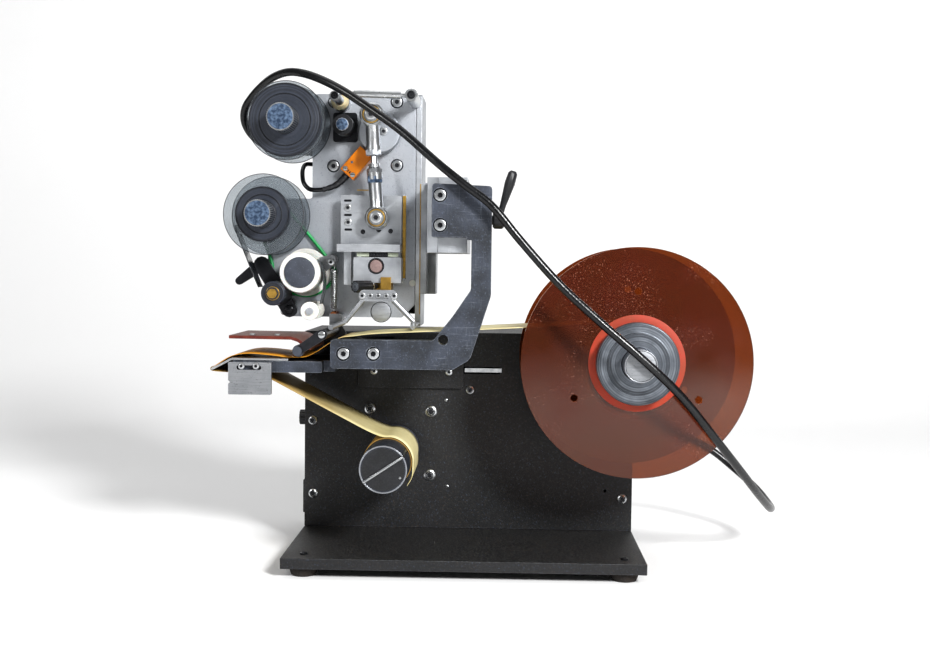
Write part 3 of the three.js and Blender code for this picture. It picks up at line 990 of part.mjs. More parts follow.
// Cords: the main lead from the head to the housing, and the sensor cable round the edge of the plate
const cordRadius = 3.5;
const cableRadius = 2;
const mainRoute = [[-141.8, 14, 362], [-152, 14, 361.9], [-166, 14, 361.7], [-181, 13.4, 363.4],
  [-194, 11.5, 368.4], [-203, 7.5, 377], [-206.8, 1.5, 387], [-204.5, -6, 397.5], [-197, -13.5, 406.5],
  [-186, -24, 415], [-173, -38, 421], [-158, -52, 423.2], [-143, -64, 420.4], [-125, -76, 413.2],
  [-104.9, -86, 402.3], [-81, -95, 386.3], [-56.7, -104.5, 368.9], [-22.8, -116.5, 339.6], [-2.1, -120.5,
  323.3], [19.2, -123, 307.2], [43.1, -125, 279.1], [75.9, -128, 243.1], [108.3, -132.5, 213.7],
  [140.5, -135, 186.2], [173.6, -130, 155.6], [205, -110, 119.4], [232.8, -78, 87.3], [258, -38, 58.5],
  [276, 2, 40], [283.5, 40, 36], [277, 72, 46], [258, 90, 63], [236, 95, 80], [210, 89, 93], [186, 77, 99],
  [170, 70.3, 100], [158.6, 70, 100]];
const cableRoute = [[-109.5, -28, 336.8], [-112, -28.2, 333.8], [-118, -29, 328.4], [-126, -29.8, 324.8],
  [-135, -30, 323.2], [-142.5, -29.8, 324], [-147.6, -27.8, 329], [-150, -22, 337], [-150.6, -13, 344],
  [-149.4, -3, 347.6], [-145.4, 5, 348.5], [-140, 9.8, 348.5], [-134.4, 10, 348.5]];
function makeCords() {
  add('main_cord', tube(routeOf(mainRoute), cordRadius, 56, 6), 'blackPlastic');
  add('sensor_cable', tube(routeOf(cableRoute), cableRadius, 22, 6), 'blackPlastic');
}

makeBase();
makeHousing();
makeRewind();
makeReel();
makeCarriage();
makeTable();
makeHoldDown();
makeWeb();
makeArm();
makeColumn();
makeHeadPlate();
makeSideRail();
makeHeadRear();
makeSpools();
makeBelt();
makePinch();
makeFoilFrame();
makeFeedLever();
makeSpring();
makePillars();
makeCrank();
makeRod();
makePress();
makeSensor();
makeCords();

// The origin goes under the middle of the machine without its two cords.
const extent = new THREE.Box3();
machine.children.filter((mesh) => !['main_cord', 'sensor_cable'].includes(mesh.name)).forEach((mesh) => {
  extent.expandByObject(mesh);
});
const heart = extent.getCenter(vec3(0, 0, 0));
machine.position.set(-heart.x, -heart.y, 0);

export default machine;
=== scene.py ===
# Label dispenser with a hot-foil coding head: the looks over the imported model.
# Sizes are millimetres in the frame that the part was drawn in, and at() turns a point into the row frame.
import math
import bpy
import bmesh
from mathutils import Matrix, Vector


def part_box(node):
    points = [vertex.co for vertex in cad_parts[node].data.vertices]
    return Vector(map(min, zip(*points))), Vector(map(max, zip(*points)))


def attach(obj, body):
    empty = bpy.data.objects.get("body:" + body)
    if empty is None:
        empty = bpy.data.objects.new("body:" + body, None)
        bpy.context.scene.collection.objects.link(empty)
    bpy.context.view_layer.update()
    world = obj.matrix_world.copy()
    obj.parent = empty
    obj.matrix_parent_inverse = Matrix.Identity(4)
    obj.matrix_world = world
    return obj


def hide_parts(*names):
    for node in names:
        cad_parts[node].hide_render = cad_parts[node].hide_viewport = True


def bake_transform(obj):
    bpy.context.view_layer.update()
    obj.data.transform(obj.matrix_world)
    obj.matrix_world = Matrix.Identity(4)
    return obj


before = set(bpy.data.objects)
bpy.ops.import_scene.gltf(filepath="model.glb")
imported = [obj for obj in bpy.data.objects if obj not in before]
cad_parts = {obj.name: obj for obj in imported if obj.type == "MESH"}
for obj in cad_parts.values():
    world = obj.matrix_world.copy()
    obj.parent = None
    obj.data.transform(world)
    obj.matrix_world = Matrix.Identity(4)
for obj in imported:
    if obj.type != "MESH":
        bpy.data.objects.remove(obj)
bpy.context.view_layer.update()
drawnCorner = (-150, -133)  # front left corner of the base plate, as drawn
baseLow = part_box("base_plate")[0]
shift = Vector((baseLow.x * 1000 - drawnCorner[0], baseLow.y * 1000 - drawnCorner[1], 0))
outAxis, inAxis, upAxis, rightAxis, leftAxis = (0, -1, 0), (0, 1, 0), (0, 0, 1), (1, 0, 0), (-1, 0, 0)


def at(x, y, z):
    return Vector(((x + shift.x) / 1000, (y + shift.y) / 1000, z / 1000))


# Camera: its place and its turns, in radians, were solved from the photograph
cameraFacts = {"place": (28.29, -1174.43, 258.49), "yaw": 0.0275434061, "pitch": -0.0519412762,
               "roll": -0.0113951324, "lens": 50, "sensor": 36, "near": 0.05, "far": 20}


def makeCamera(facts):
    turn = (Matrix.Rotation(facts["yaw"], 3, "Z") @ Matrix.Rotation(facts["pitch"], 3, "X")
            @ Matrix.Rotation(facts["roll"], 3, "Y"))
    data = bpy.data.cameras.new("camera")
    data.lens = facts["lens"]
    data.sensor_width = facts["sensor"]
    data.sensor_fit = "HORIZONTAL"
    data.clip_start, data.clip_end = facts["near"], facts["far"]
    camera = bpy.data.objects.new("camera", data)
    bpy.context.scene.collection.objects.link(camera)
    pose = Matrix((turn.col[0], turn.col[2], -turn.col[1])).transposed().to_4x4()
    pose.translation = at(*facts["place"])
    camera.matrix_world = pose
    bpy.context.scene.camera = camera


makeCamera(cameraFacts)
print("camera placed")


# Materials
def addNode(tree, kind, inputs=None, output=0, **settings):
    node = tree.nodes.new(kind)
    for name, value in settings.items():
        setattr(node, name, value)
    for name, value in (inputs or {}).items():
        if isinstance(value, bpy.types.NodeSocket):
            tree.links.new(value, node.inputs[name])
        else:
            node.inputs[name].default_value = value
    return node.outputs[output] if node.outputs else node


# sRGB hex to the linear colour that a shader takes
def linear(hexColour):
    parts = [int(hexColour[k:k + 2], 16) / 255 for k in (1, 3, 5)]
    return tuple(c / 12.92 if c <= 0.04045 else ((c + 0.055) / 1.055) ** 2.4 for c in parts) + (1,)


# A finish is a base colour and layers. Each layer is a noise of a real size in millimetres, cut between low
# and high, that can tint, roughen and raise the surface. It can follow rings round the piece's axis
# ("turned"), lie only on edges or on faces that look up, come in patches, or grow along an axis of the piece.
def layerMask(tree, layer, mm, normal):
    where = mm
    if layer.get("turned"):
        parts = addNode(tree, "ShaderNodeSeparateXYZ", {0: mm}).node.outputs
        flat = addNode(tree, "ShaderNodeCombineXYZ", {0: parts[0], 1: parts[1]})
        reach = addNode(tree, "ShaderNodeVectorMath", {0: flat}, output="Value", operation="LENGTH")
        where = addNode(tree, "ShaderNodeCombineXYZ", {0: reach, 1: parts[2]})
    if "stretch" in layer:
        where = addNode(tree, "ShaderNodeVectorMath", {0: where, 1: layer["stretch"]}, operation="MULTIPLY")
    noise = addNode(tree, "ShaderNodeTexNoise", {
        "Vector": where, "Scale": 1 / layer["size"], "Detail": layer.get("detail", 2.0)})
    mask = addNode(tree, "ShaderNodeMapRange", {
        0: noise, 1: layer.get("low", 0.35), 2: layer.get("high", 0.65), 4: layer.get("share", 1.0)})
    limits = []
    if layer.get("on") == "edges":  # where a rounded normal leaves the face's own
        eased = addNode(tree, "ShaderNodeBevel", {"Radius": layer["radius"] / 1000}, samples=4)
        turn = addNode(tree, "ShaderNodeVectorMath", {0: eased, 1: normal}, output="Value",
                       operation="DOT_PRODUCT")
        limits.append(addNode(tree, "ShaderNodeMapRange", {0: turn, 1: 0.985, 2: 0.86}))
    if layer.get("on") == "top":
        up = addNode(tree, "ShaderNodeSeparateXYZ", {0: normal}, output=2)
        limits.append(addNode(tree, "ShaderNodeMapRange", {0: up, 1: 0.2, 2: 0.95, 3: 0.15}))
    if "patches" in layer:
        broad = addNode(tree, "ShaderNodeTexNoise", {
            "Vector": mm, "Scale": 1 / layer["patches"], "Detail": 3.0})
        limits.append(addNode(tree, "ShaderNodeMapRange", {0: broad, 1: 0.44, 2: 0.62}))
    if "along" in layer:  # an axis and the two places between which the layer grows
        axis, start, end = layer["along"]
        place = addNode(tree, "ShaderNodeSeparateXYZ", {0: mm}, output=axis)
        limits.append(addNode(tree, "ShaderNodeMapRange", {0: place, 1: start, 2: end}))
    for limit in limits:
        mask = addNode(tree, "ShaderNodeMath", {0: mask, 1: limit}, operation="MULTIPLY")
    return mask


# An empty material, with the place on the piece in millimetres and the direction that its surface faces
def startMaterial(name):
    material = bpy.data.materials.new(name)
    material.use_nodes = True
    tree = material.node_tree
    tree.nodes.clear()
    place = addNode(tree, "ShaderNodeTexCoord", output="Object")
    mm = addNode(tree, "ShaderNodeVectorMath", {0: place, "Scale": 1000.0}, operation="SCALE")
    normal = addNode(tree, "ShaderNodeNewGeometry", output="Normal")
    return material, tree, mm, normal


# The plastics, rubber and papers here all have an IOR close to 1.5, and a metal keeps the default, also 1.5
def makeMaterial(name, colour, rough, layers, metal=0.0, coat=0.0, coatRough=0.1, through=0.0, soft=0.0):
    material, tree, mm, normal = startMaterial(name)
    tint, roughness, height = linear(colour), rough, None
    for layer in layers:
        mask = layerMask(tree, layer, mm, normal)
        if "colour" in layer:
            tint = addNode(tree, "ShaderNodeMix", {0: mask, 6: tint, 7: linear(layer["colour"])},
                           output=2, data_type="RGBA")
        if "rough" in layer:
            roughness = addNode(tree, "ShaderNodeMath", {0: mask, 1: layer["rough"], 2: roughness},
                                operation="MULTIPLY_ADD")
        if "bump" in layer:
            height = addNode(tree, "ShaderNodeMath", {0: mask, 1: layer["bump"], 2: height or 0.0},
                             operation="MULTIPLY_ADD")
    inputs = {"Base Color": tint, "Metallic": metal, "Roughness": roughness, "IOR": 1.5,
              "Coat Weight": coat, "Coat Roughness": coatRough, "Transmission Weight": through,
              "Subsurface Weight": soft, "Subsurface Scale": 0.002}
    if height:
        inputs["Normal"] = addNode(tree, "ShaderNodeBump", {"Height": height, "Distance": 0.001})
    addNode(tree, "ShaderNodeOutputMaterial", {0: addNode(tree, "ShaderNodeBsdfPrincipled", inputs)})
    return material


# Acrylic sheet: what is behind shows through its tint, its faces shine, and its sawn edges catch the light.
# The faces look along Y, so a sawn edge is where the normal turns away from it.
def makeAcrylic(name, facts):
    material, tree, mm, normal = startMaterial(name)
    broad = layerMask(tree, {"size": 45, "detail": 4.0}, mm, normal)
    specks = layerMask(tree, {"size": 1.4, "low": 0.6, "high": 0.72, "share": facts["dusty"],
                              "patches": 40}, mm, normal)
    side = addNode(tree, "ShaderNodeSeparateXYZ", {0: normal}, output=1)
    flat = addNode(tree, "ShaderNodeMath", {0: side}, operation="ABSOLUTE")
    rim = addNode(tree, "ShaderNodeMapRange", {0: flat, 1: 0.9, 2: 0.45})
    colour = linear(facts["body"])
    for share, other in ((broad, facts["cloud"]), (specks, facts["dust"]), (rim, facts["rim"])):
        colour = addNode(tree, "ShaderNodeMix", {0: share, 6: colour, 7: linear(other)}, output=2,
                         data_type="RGBA")
    share = addNode(tree, "ShaderNodeMath", {0: specks, 1: facts["solid"]}, operation="ADD")
    share = addNode(tree, "ShaderNodeMath", {0: rim, 1: share}, operation="MAXIMUM", use_clamp=True)
    clear = addNode(tree, "ShaderNodeBsdfTransparent", {0: linear(facts["tint"])})
    solid = addNode(tree, "ShaderNodeBsdfDiffuse", {0: colour})
    mixed = addNode(tree, "ShaderNodeMixShader", {0: share, 1: clear, 2: solid})
    haze = addNode(tree, "ShaderNodeMapRange", {0: broad, 3: 0.04, 4: 0.16})
    shine = addNode(tree, "ShaderNodeBsdfGlossy", {"Roughness": haze})
    glance = addNode(tree, "ShaderNodeFresnel", {"IOR": 1.49})
    sheet = addNode(tree, "ShaderNodeMixShader", {0: glance, 1: mixed, 2: shine})
    addNode(tree, "ShaderNodeOutputMaterial", {0: sheet})
    return material


# Layers that many finishes share. Grains, dust and scratches are drawn coarser than real, so that they show.
cloud = {"size": 30, "detail": 4.0, "share": 0.7, "rough": 0.08}  # broad change of tone
speck = {"size": 1.4, "low": 0.62, "high": 0.7, "share": 0.5}  # single grains
wear = {"size": 3.0, "detail": 4.0, "low": 0.34, "high": 0.6, "on": "edges", "radius": 0.9, "share": 0.8}
dust = {"size": 1.6, "detail": 4.0, "low": 0.46, "high": 0.7, "on": "top", "colour": "#a9a8a2", "rough": 0.3}
scratch = {"size": 1.0, "low": 0.64, "high": 0.72, "patches": 26, "share": 0.5}
rings = {"size": 0.9, "detail": 3.0, "turned": True, "stretch": (1.0, 0.25, 1.0)}  # left by a lathe
lengthwise = (0.05, 1.0, 1.6)  # stretch of scratches that run along X
upright = (1.6, 1.0, 0.05)  # and of those that run along Z

finishes = {
    # powder coat sprayed on steel: fine orange peel, blue and brown grains, thin at the folds
    "powderCoat": makeMaterial("black_powder_coated_steel", "#0b0c0f", 0.5, [
        dict(cloud, size=60, colour="#141315"), dict(speck, colour="#3a4252"),
        dict(speck, size=1.9, colour="#382e27"), {"size": 0.7, "bump": 0.05},
        dict(wear, colour="#73757a", share=0.5), dict(dust, share=0.16)]),
    # coated casting of the arm: satin, knocked at the edges, scratched by fingers and tools
    "coatedCasting": makeMaterial("charcoal_coated_casting", "#20242b", 0.44, [
        dict(cloud, size=24, colour="#3c424f"), dict(speck, colour="#525a69"), {"size": 1.1, "bump": 0.05},
        dict(scratch, stretch=lengthwise, colour="#8b929d"),
        dict(scratch, stretch=upright, colour="#7b828d"),
        dict(wear, colour="#a2a8b0"), dict(dust, share=0.2)], metal=0.1),
    # moulded rubber: dull, brownish, with a little dust
    "rubber": makeMaterial("black_moulded_rubber", "#1c1714", 0.8, [
        dict(cloud, size=8, colour="#2b231d"), {"size": 0.9, "bump": 0.06}, dict(dust, share=0.2)]),
    # moulded plastic: satin with a slight pull in the skin
    "mouldedPlastic": makeMaterial("black_moulded_plastic", "#0f1013", 0.38, [
        dict(cloud, size=9, colour="#191a1f"), {"size": 1.2, "bump": 0.015},
        dict(wear, radius=0.4, colour="#43464d", share=0.4), dict(dust, share=0.12)]),
    # bead-blasted aluminium: even grey sparkle, handled darker in places
    "blasted": makeMaterial("bead_blasted_aluminium", "#aaadb2", 0.46, [
        dict(cloud, size=42, colour="#9ba0a7"), dict(speck, colour="#7b8088", share=0.4),
        {"size": 0.8, "bump": 0.05}, dict(scratch, stretch=upright, colour="#e9ebee", share=0.3),
        dict(wear, radius=0.5, colour="#f0f1f3")], metal=0.85),
    # milled aluminium: lines left by the cutter
    "milled": makeMaterial("milled_aluminium", "#b3b6ba", 0.36, [
        dict(cloud, size=18, colour="#8b8e93"),
        {"size": 1.0, "stretch": (0.07, 0.8, 2.2), "bump": 0.03, "rough": 0.12},
        dict(scratch, stretch=upright, colour="#eceef0", share=0.25),
        dict(wear, radius=0.4, colour="#f3f4f5")], metal=0.95),
    # brushed sheet steel: long grain, dull where it has tarnished
    "brushedSteel": makeMaterial("brushed_steel_sheet", "#8b8d90", 0.42, [
        dict(cloud, size=15, colour="#6f7276"),
        {"size": 1.0, "stretch": (0.06, 0.6, 2.4), "bump": 0.04, "rough": 0.15, "colour": "#a3a5a8",
         "share": 0.5},
        dict(speck, colour="#55575a"), dict(wear, radius=0.5, colour="#caccce")], metal=0.85),
    # zinc plate on steel: bright, slightly cloudy
    "zinc": makeMaterial("zinc_plated_steel", "#cccecf", 0.27, [
        dict(cloud, size=5, colour="#a6a9ad"), dict(speck, size=1.1, colour="#84878b", share=0.3),
        dict(wear, radius=0.3, colour="#f6f6f6", share=0.5)], metal=1.0),
    # turned steel: bright, with rings from the lathe
    "turnedSteel": makeMaterial("lathe_turned_steel", "#b7b9bd", 0.3, [
        dict(cloud, size=6, colour="#96999f"), dict(rings, colour="#7f8288", share=0.5, bump=0.03),
        dict(wear, radius=0.3, colour="#f1f2f3", share=0.5)], metal=1.0),
    # spangled zinc on the spindle ends: crystals a few millimetres wide
    "spangle": makeMaterial("zinc_spangled_steel", "#36455b", 0.4, [
        {"size": 2.4, "detail": 1.0, "colour": "#6f839c", "share": 0.8},
        dict(speck, colour="#2f3947", share=0.6), {"size": 1.2, "bump": 0.05},
        dict(wear, radius=0.5, colour="#ccd2d8", share=0.5)], metal=0.7),
    # turned nylon of the spools: dark, with dull rings
    "turnedNylon": makeMaterial("turned_black_nylon", "#14161c", 0.38, [
        dict(cloud, size=12, colour="#1d212a"), dict(rings, colour="#323844", share=0.7, bump=0.08),
        dict(wear, radius=0.6, colour="#646b77", share=0.5), dict(dust, share=0.12)]),
    # turned alloy of the reel's collar: grey, with clear rings
    "turnedGrey": makeMaterial("turned_grey_alloy", "#44474c", 0.36, [
        dict(rings, size=1.2, colour="#8e949c", share=0.8, bump=0.08), dict(cloud, size=16, colour="#43474d"),
        dict(wear, radius=0.6, colour="#a7adb5", share=0.6), dict(dust, share=0.15)], metal=0.7),
    # plastic of the feed roller's face: dull, finely speckled
    "speckledCap": makeMaterial("speckled_grey_plastic", "#2f333c", 0.55, [
        dict(cloud, size=9, colour="#3c414c"), dict(speck, colour="#5a606d", share=0.6),
        {"size": 0.9, "bump": 0.05}]),
    # painted light: a ring round the collar, orange to stand in for the lit end of the roll seen through the
    # amber disc
    "rollGlowRing": makeMaterial("painted_roll_glow_ring", "#8a2e0a", 0.5, [
        dict(cloud, size=10, colour="#a32a10"), dict(speck, colour="#a8461c", share=0.4)]),
    # board of the roll's core, with painted light: bright orange, to stand in for the light that the amber
    # disc before it takes away
    "paintedBrightCore": makeMaterial("orange_core_painted_bright", "#ff6a2c", 0.6, [dict(cloud, size=9, colour="#ff8a50")]),
    # brass cut on a mill, a little tarnished
    "brass": makeMaterial("milled_brass", "#b9974f", 0.34, [
        dict(cloud, size=5, colour="#8a6f3c"),
        {"size": 1.0, "stretch": (0.4, 1.0, 2.0), "bump": 0.02, "rough": 0.1},
        dict(wear, radius=0.3, colour="#e6cb8d", share=0.6)], metal=1.0),
    # coppered steel of the spring's post: brown, unevenly darkened
    "copper": makeMaterial("coppered_steel", "#b0714a", 0.36, [dict(cloud, size=4, colour="#74462d")],
                           metal=0.9),
    # blackened steel: hot-oxide finish, grey where it rubs
    "blackSteel": makeMaterial("blackened_steel", "#333438", 0.36, [
        dict(cloud, size=7, colour="#222326"), {"size": 1.1, "bump": 0.02},
        dict(wear, radius=0.35, colour="#8e9094", share=0.7)], metal=0.7),
    # the same oxide on screws, darker and smoother
    "blackScrew": makeMaterial("black_oxide_screw", "#1b1c1f", 0.32, [
        dict(cloud, size=3, colour="#2a2b2f"), dict(wear, radius=0.25, colour="#7a7c80", share=0.7)],
        metal=0.6),
    # coated release paper: cream, with faint fibres; painted shade makes it browner towards the peel edge,
    # where the liner lies in shadow under the table
    "liner": makeMaterial("cream_release_paper", "#cbbf8d", 0.55, [
        dict(cloud, size=26, colour="#dcd3a8"), dict(speck, size=1.8, colour="#b3a568", share=0.3),
        # painted shade: browner near the peel tip, where the table shades the liner
        {"size": 20, "low": -1, "high": 0, "colour": "#8f6f32", "along": (0, 135, 50)},
        {"size": 0.9, "bump": 0.008}]),
    # the web turns from cream to gold where the clear labels leave it, over the peel table
    "labelWeb": makeMaterial("labelled_release_paper", "#cbbf8d", 0.6, [
        dict(cloud, size=26, colour="#dcd3a8"),
        {"size": 20, "low": -1, "high": 0, "colour": "#c48a28", "along": (0, -235, -262), "rough": -0.05},
        dict(speck, size=1.8, colour="#8f7c3e", share=0.25), {"size": 6.0, "bump": 0.1}]),
    # wound labels: many edges side by side, so the ends show as close rings
    "woundLabels": makeMaterial("wound_label_paper", "#d9d2b4", 0.5, [
        dict(rings, size=1.2, colour="#b7ac84", share=0.7), dict(cloud, size=22, colour="#e8e3cd")]),
    # turned acetal: white, a little see-through at its skin, with faint rings
    "acetal": makeMaterial("white_turned_acetal", "#dededa", 0.36, [
        dict(cloud, size=7, colour="#c4c4bd"), dict(rings, colour="#b2b2aa", share=0.3, bump=0.03),
        dict(speck, colour="#8c8c84", share=0.3)], soft=0.1),
    # natural nylon, yellowed with age
    "creamNylon": makeMaterial("cream_nylon", "#cbbf9d", 0.42, [dict(cloud, size=5, colour="#b0a37f")],
                               soft=0.15),
    # moulded housing of the sensor: bright orange with a gloss
    "sensorPlastic": makeMaterial("orange_sensor_plastic", "#cf7a0c", 0.34, [
        dict(cloud, size=8, colour="#c26c04"), {"size": 1.0, "bump": 0.01},
        dict(wear, radius=0.3, colour="#f2b045", share=0.4)], coat=0.2, coatRough=0.2),
    # cast polyurethane belt: satin green
    "beltGreen": makeMaterial("green_polyurethane_belt", "#0b9650", 0.38, [
        dict(cloud, size=9, colour="#067a3d"), {"size": 1.2, "bump": 0.03}], soft=0.1),
    # PVC jacket: glossy, with long low waves
    "cordJacket": makeMaterial("black_pvc_jacket", "#060709", 0.24, [
        dict(cloud, size=18, colour="#101114"), {"size": 2.4, "bump": 0.05}]),
    # spent coding foil: black and glossy, slightly crumpled
    "codingFoil": makeMaterial("black_coding_foil", "#101013", 0.26, [
        dict(cloud, size=6, colour="#212127"), {"size": 4.0, "bump": 0.15}], coat=0.4, coatRough=0.12),
    # pressed mica of the heater's spacers: dull and flaky
    "spacer": makeMaterial("mica_spacer", "#a3aa9a", 0.6, [
        dict(cloud, size=3, colour="#7f8774"), {"size": 1.2, "bump": 0.08}]),
    # end of the heater cartridge: copper dulled by heat
    "heaterEnd": makeMaterial("annealed_copper_end", "#8f7d7a", 0.45, [
        dict(cloud, size=3, colour="#776462"), dict(rings, size=0.8, colour="#7d605c", share=0.4, bump=0.04)],
        metal=0.4),
    # smoked film: grey, half see-through
    "smokedFilm": makeMaterial("smoked_film", "#6a6e72", 0.22, [dict(cloud, size=9, colour="#4e5256")],
                               through=0.5, coat=0.2),
    # discs of the reel: brown amber with red clouds, paler at the sawn edge
    "amber": makeAcrylic("amber_acrylic", {
        "tint": "#be8446", "body": "#5c2f18", "cloud": "#5f2a17", "dust": "#c79a84", "rim": "#b5683a",
        "solid": 0.4, "dusty": 0.4}),
    # the hold-down plate is thick enough to look solid: smoked amber with dust on top, darker where it is cut
    "amberPlate": makeMaterial("smoked_amber_acrylic", "#56322a", 0.55, [
        dict(cloud, size=12, colour="#6f4a40"), dict(dust, share=0.25)]),
    "amberEdge": makeMaterial("cut_amber_edge", "#4a0f08", 0.4, [dict(cloud, size=9, colour="#74301a")]),
    # discs of the foil spools: nearly colourless, grey at the edge
    "clear": makeAcrylic("clear_acrylic", {
        "tint": "#e6e9eb", "body": "#8f959a", "cloud": "#7b8187", "dust": "#c9cdd0", "rim": "#5a6168",
        "solid": 0.2, "dusty": 0.03}),
}
print(f"{len(finishes)} finishes made")


# Geometry
tiny = 1e-6


# A smooth curve through the points, without loops where they are close together
def spline(points, steps, closed=False):
    count = len(points)
    points = [Vector(p) for p in points]

    def point(i):
        if closed:
            return points[i % count]
        if i < 0:
            return points[0] * 2 - points[1]
        if i >= count:
            return points[-1] * 2 - points[-2]
        return points[i]

    out = []
    for i in range(count if closed else count - 1):
        a, b, c, d = (point(i + k) for k in (-1, 0, 1, 2))
        ab, bc, cd = (max((q - p).length, tiny) ** 0.5 for p, q in ((a, b), (b, c), (c, d)))
        inn = ((b - a) / ab - (c - a) / (ab + bc) + (c - b) / bc) * bc
        end = ((c - b) / bc - (d - b) / (bc + cd) + (d - c) / cd) * bc
        for k in range(steps):
            t = k / steps
            out.append(b + inn * t + (c * 3 - b * 3 - inn * 2 - end) * t ** 2
                       + (b * 2 - c * 2 + inn + end) * t ** 3)
    if not closed:
        out.append(points[-1].copy())
    return out


# Corners are (x, y) or (x, y, radius). An arc takes at most 0.48 of the shorter side, so that two can't meet.
def rounded(corners, steps=5, closed=True):
    out = []
    count = len(corners)
    for i, corner in enumerate(corners):
        here = Vector(corner[:2])
        radius = corner[2] if len(corner) > 2 else 0
        if radius <= 0 or (not closed and i in (0, count - 1)):
            out.append(here)
            continue
        back = Vector(corners[i - 1][:2]) - here
        ahead = Vector(corners[(i + 1) % count][:2]) - here
        room = min(back.length, ahead.length) * 0.48
        back.normalize()
        ahead.normalize()
        half = math.acos(max(-1, min(1, back.dot(ahead)))) / 2
        if half > math.pi / 2 - 0.02:  # nearly straight
            out.append(here)
            continue
        reach = min(radius / math.tan(half), room)
        arc = reach * math.tan(half)
        heart = here + (back + ahead).normalized() * (arc / math.sin(half))
        first, last = here + back * reach - heart, here + ahead * reach - heart
        turn = math.atan2(last.y, last.x) - math.atan2(first.y, first.x)
        turn = (turn + math.pi) % (2 * math.pi) - math.pi
        for k in range(steps + 1):
            angle = turn * k / steps
            out.append(heart + Vector((first.x * math.cos(angle) - first.y * math.sin(angle),
                                       first.x * math.sin(angle) + first.y * math.cos(angle))))
    return out


def circle(x, z, radius, sides):
    angles = [2 * math.pi * k / sides for k in range(sides)]
    return [Vector((x + radius * math.cos(a), z + radius * math.sin(a))) for a in angles]


def around(place, radius, degrees):
    angle = math.radians(degrees)
    return (place[0] + radius * math.cos(angle), place[1] + radius * math.sin(angle))


# Puts a mesh on its body, with its finish, smooth shading split at sharp edges, and rounded edges if asked.
# stands is the CAD node that it stands for. With toBody the piece keeps its place and goes on no body; span
# is not used.
def settle(name, mesh, look, body, stands=None, edge=0.0, angle=35, pose=None, thick=0.0, toBody=None,
           span=()):
    piece = bpy.data.objects.new(name, mesh)
    bpy.context.scene.collection.objects.link(piece)
    if pose is not None:
        piece.matrix_world = pose
    mesh.materials.clear()
    mesh.materials.append(finishes[look])
    mesh.shade_smooth()
    mesh.set_sharp_from_angle(angle=math.radians(angle))
    if thick:
        shell = piece.modifiers.new("thickness", "SOLIDIFY")
        shell.thickness = thick / 1000
        shell.offset = 0
    if edge:
        bevel = piece.modifiers.new("edges", "BEVEL")
        bevel.width = edge / 1000
        bevel.segments = 2
        bevel.limit_method = "ANGLE"
        bevel.angle_limit = math.radians(angle)
        bevel.harden_normals = True
    if toBody:
        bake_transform(piece)
    else:
        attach(piece, body)
    if stands:
        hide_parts(stands)
    return piece


def meshOf(name, points, faces, heart=(0, 0, 0)):
    mesh = bpy.data.meshes.new(name)
    origin = Vector(heart)
    mesh.from_pydata([(Vector(p) - origin) / 1000 for p in points], [], faces)
    mesh.update()
    return mesh


# The same, with all its faces turned the same way
def solidMesh(name, points, faces, heart=(0, 0, 0)):
    mesh = meshOf(name, points, faces, heart)
    work = bmesh.new()
    work.from_mesh(mesh)
    bmesh.ops.recalc_face_normals(work, faces=work.faces)
    work.to_mesh(mesh)
    work.free()
    return mesh


def poseOf(heart, direction=None):
    pose = Matrix.Translation(at(*heart))
    if direction is not None:
        pose = pose @ Vector(direction).to_track_quat("Z", "Y").to_matrix().to_4x4()
    return pose


# A ring of points at one height. The width is a number, or gives each point its own.
def ringOf(width, sides, high, turn=0.0):
    out = []
    for k in range(sides):
        wide = width(k) if callable(width) else width
        angle = 2 * math.pi * k / sides + turn
        out.append((wide * math.cos(angle), wide * math.sin(angle), high))
    return out


def bandFaces(rings, sides, closed=False):
    faces = []
    for ring in range(rings if closed else rings - 1):
        low, high = ring * sides, (ring + 1) % rings * sides
        for k in range(sides):
            n = (k + 1) % sides
            faces.append((low + k, low + n, high + n, high + k))
    return faces


# Rings stacked on each other, with both ends capped
def stackMesh(name, rings):
    sides = len(rings[0])
    faces = bandFaces(len(rings), sides)
    faces.append(tuple(range((len(rings) - 1) * sides, len(rings) * sides)))
    faces.append(tuple(range(sides))[::-1])
    return solidMesh(name, [point for ring in rings for point in ring], faces)


# A turned piece: the profile lists (radius, reach) along the direction, and a third number rounds a corner.
def turnedPiece(name, profile, start, direction, look, body, sides=64, closed=False, **more):
    points, faces, rings = [], [], []
    for radius, reach in rounded(profile, 3, closed):
        ring = [(0, 0, reach)] if radius < tiny else ringOf(radius, sides, reach)
        rings.append(range(len(points), len(points) + len(ring)))
        points += ring
    pairs = list(zip(rings, rings[1:])) + ([(rings[-1], rings[0])] if closed else [])
    for low, high in pairs:
        for k in range(sides):
            n = (k + 1) % sides
            if len(low) > 1 and len(high) > 1:
                faces.append((low[k], low[n], high[n], high[k]))
            elif len(high) > 1:
                faces.append((low[0], high[n], high[k]))
            elif len(low) > 1:
                faces.append((low[k], low[n], high[0]))
    mesh = solidMesh(name, points, faces)
    return settle(name, mesh, look, body, pose=poseOf(start, direction), **more)


# A flat ring round an axis along Y through (x, z). The numbers in eased round its inner front, outer front
# and outer back corner.
def flatRing(name, place, radii, ys, look, body, eased=(0, 0, 0), **more):
    (inner, outer), (front, back) = radii, ys
    profile = [(inner, front, eased[0]), (outer, front, eased[1]), (outer, back, eased[2]), (inner, back)]
    return turnedPiece(name, profile, (place[0], 0, place[1]), inAxis, look, body, closed=True, **more)


# A disc round such an axis, with its front corner eased
def flatDisc(name, place, radius, ys, look, body, eased=0, **more):
    front, back = ys
    profile = [(0, front), (radius, front, eased), (radius, back), (0, back)]
    return turnedPiece(name, profile, (place[0], 0, place[1]), inAxis, look, body, **more)


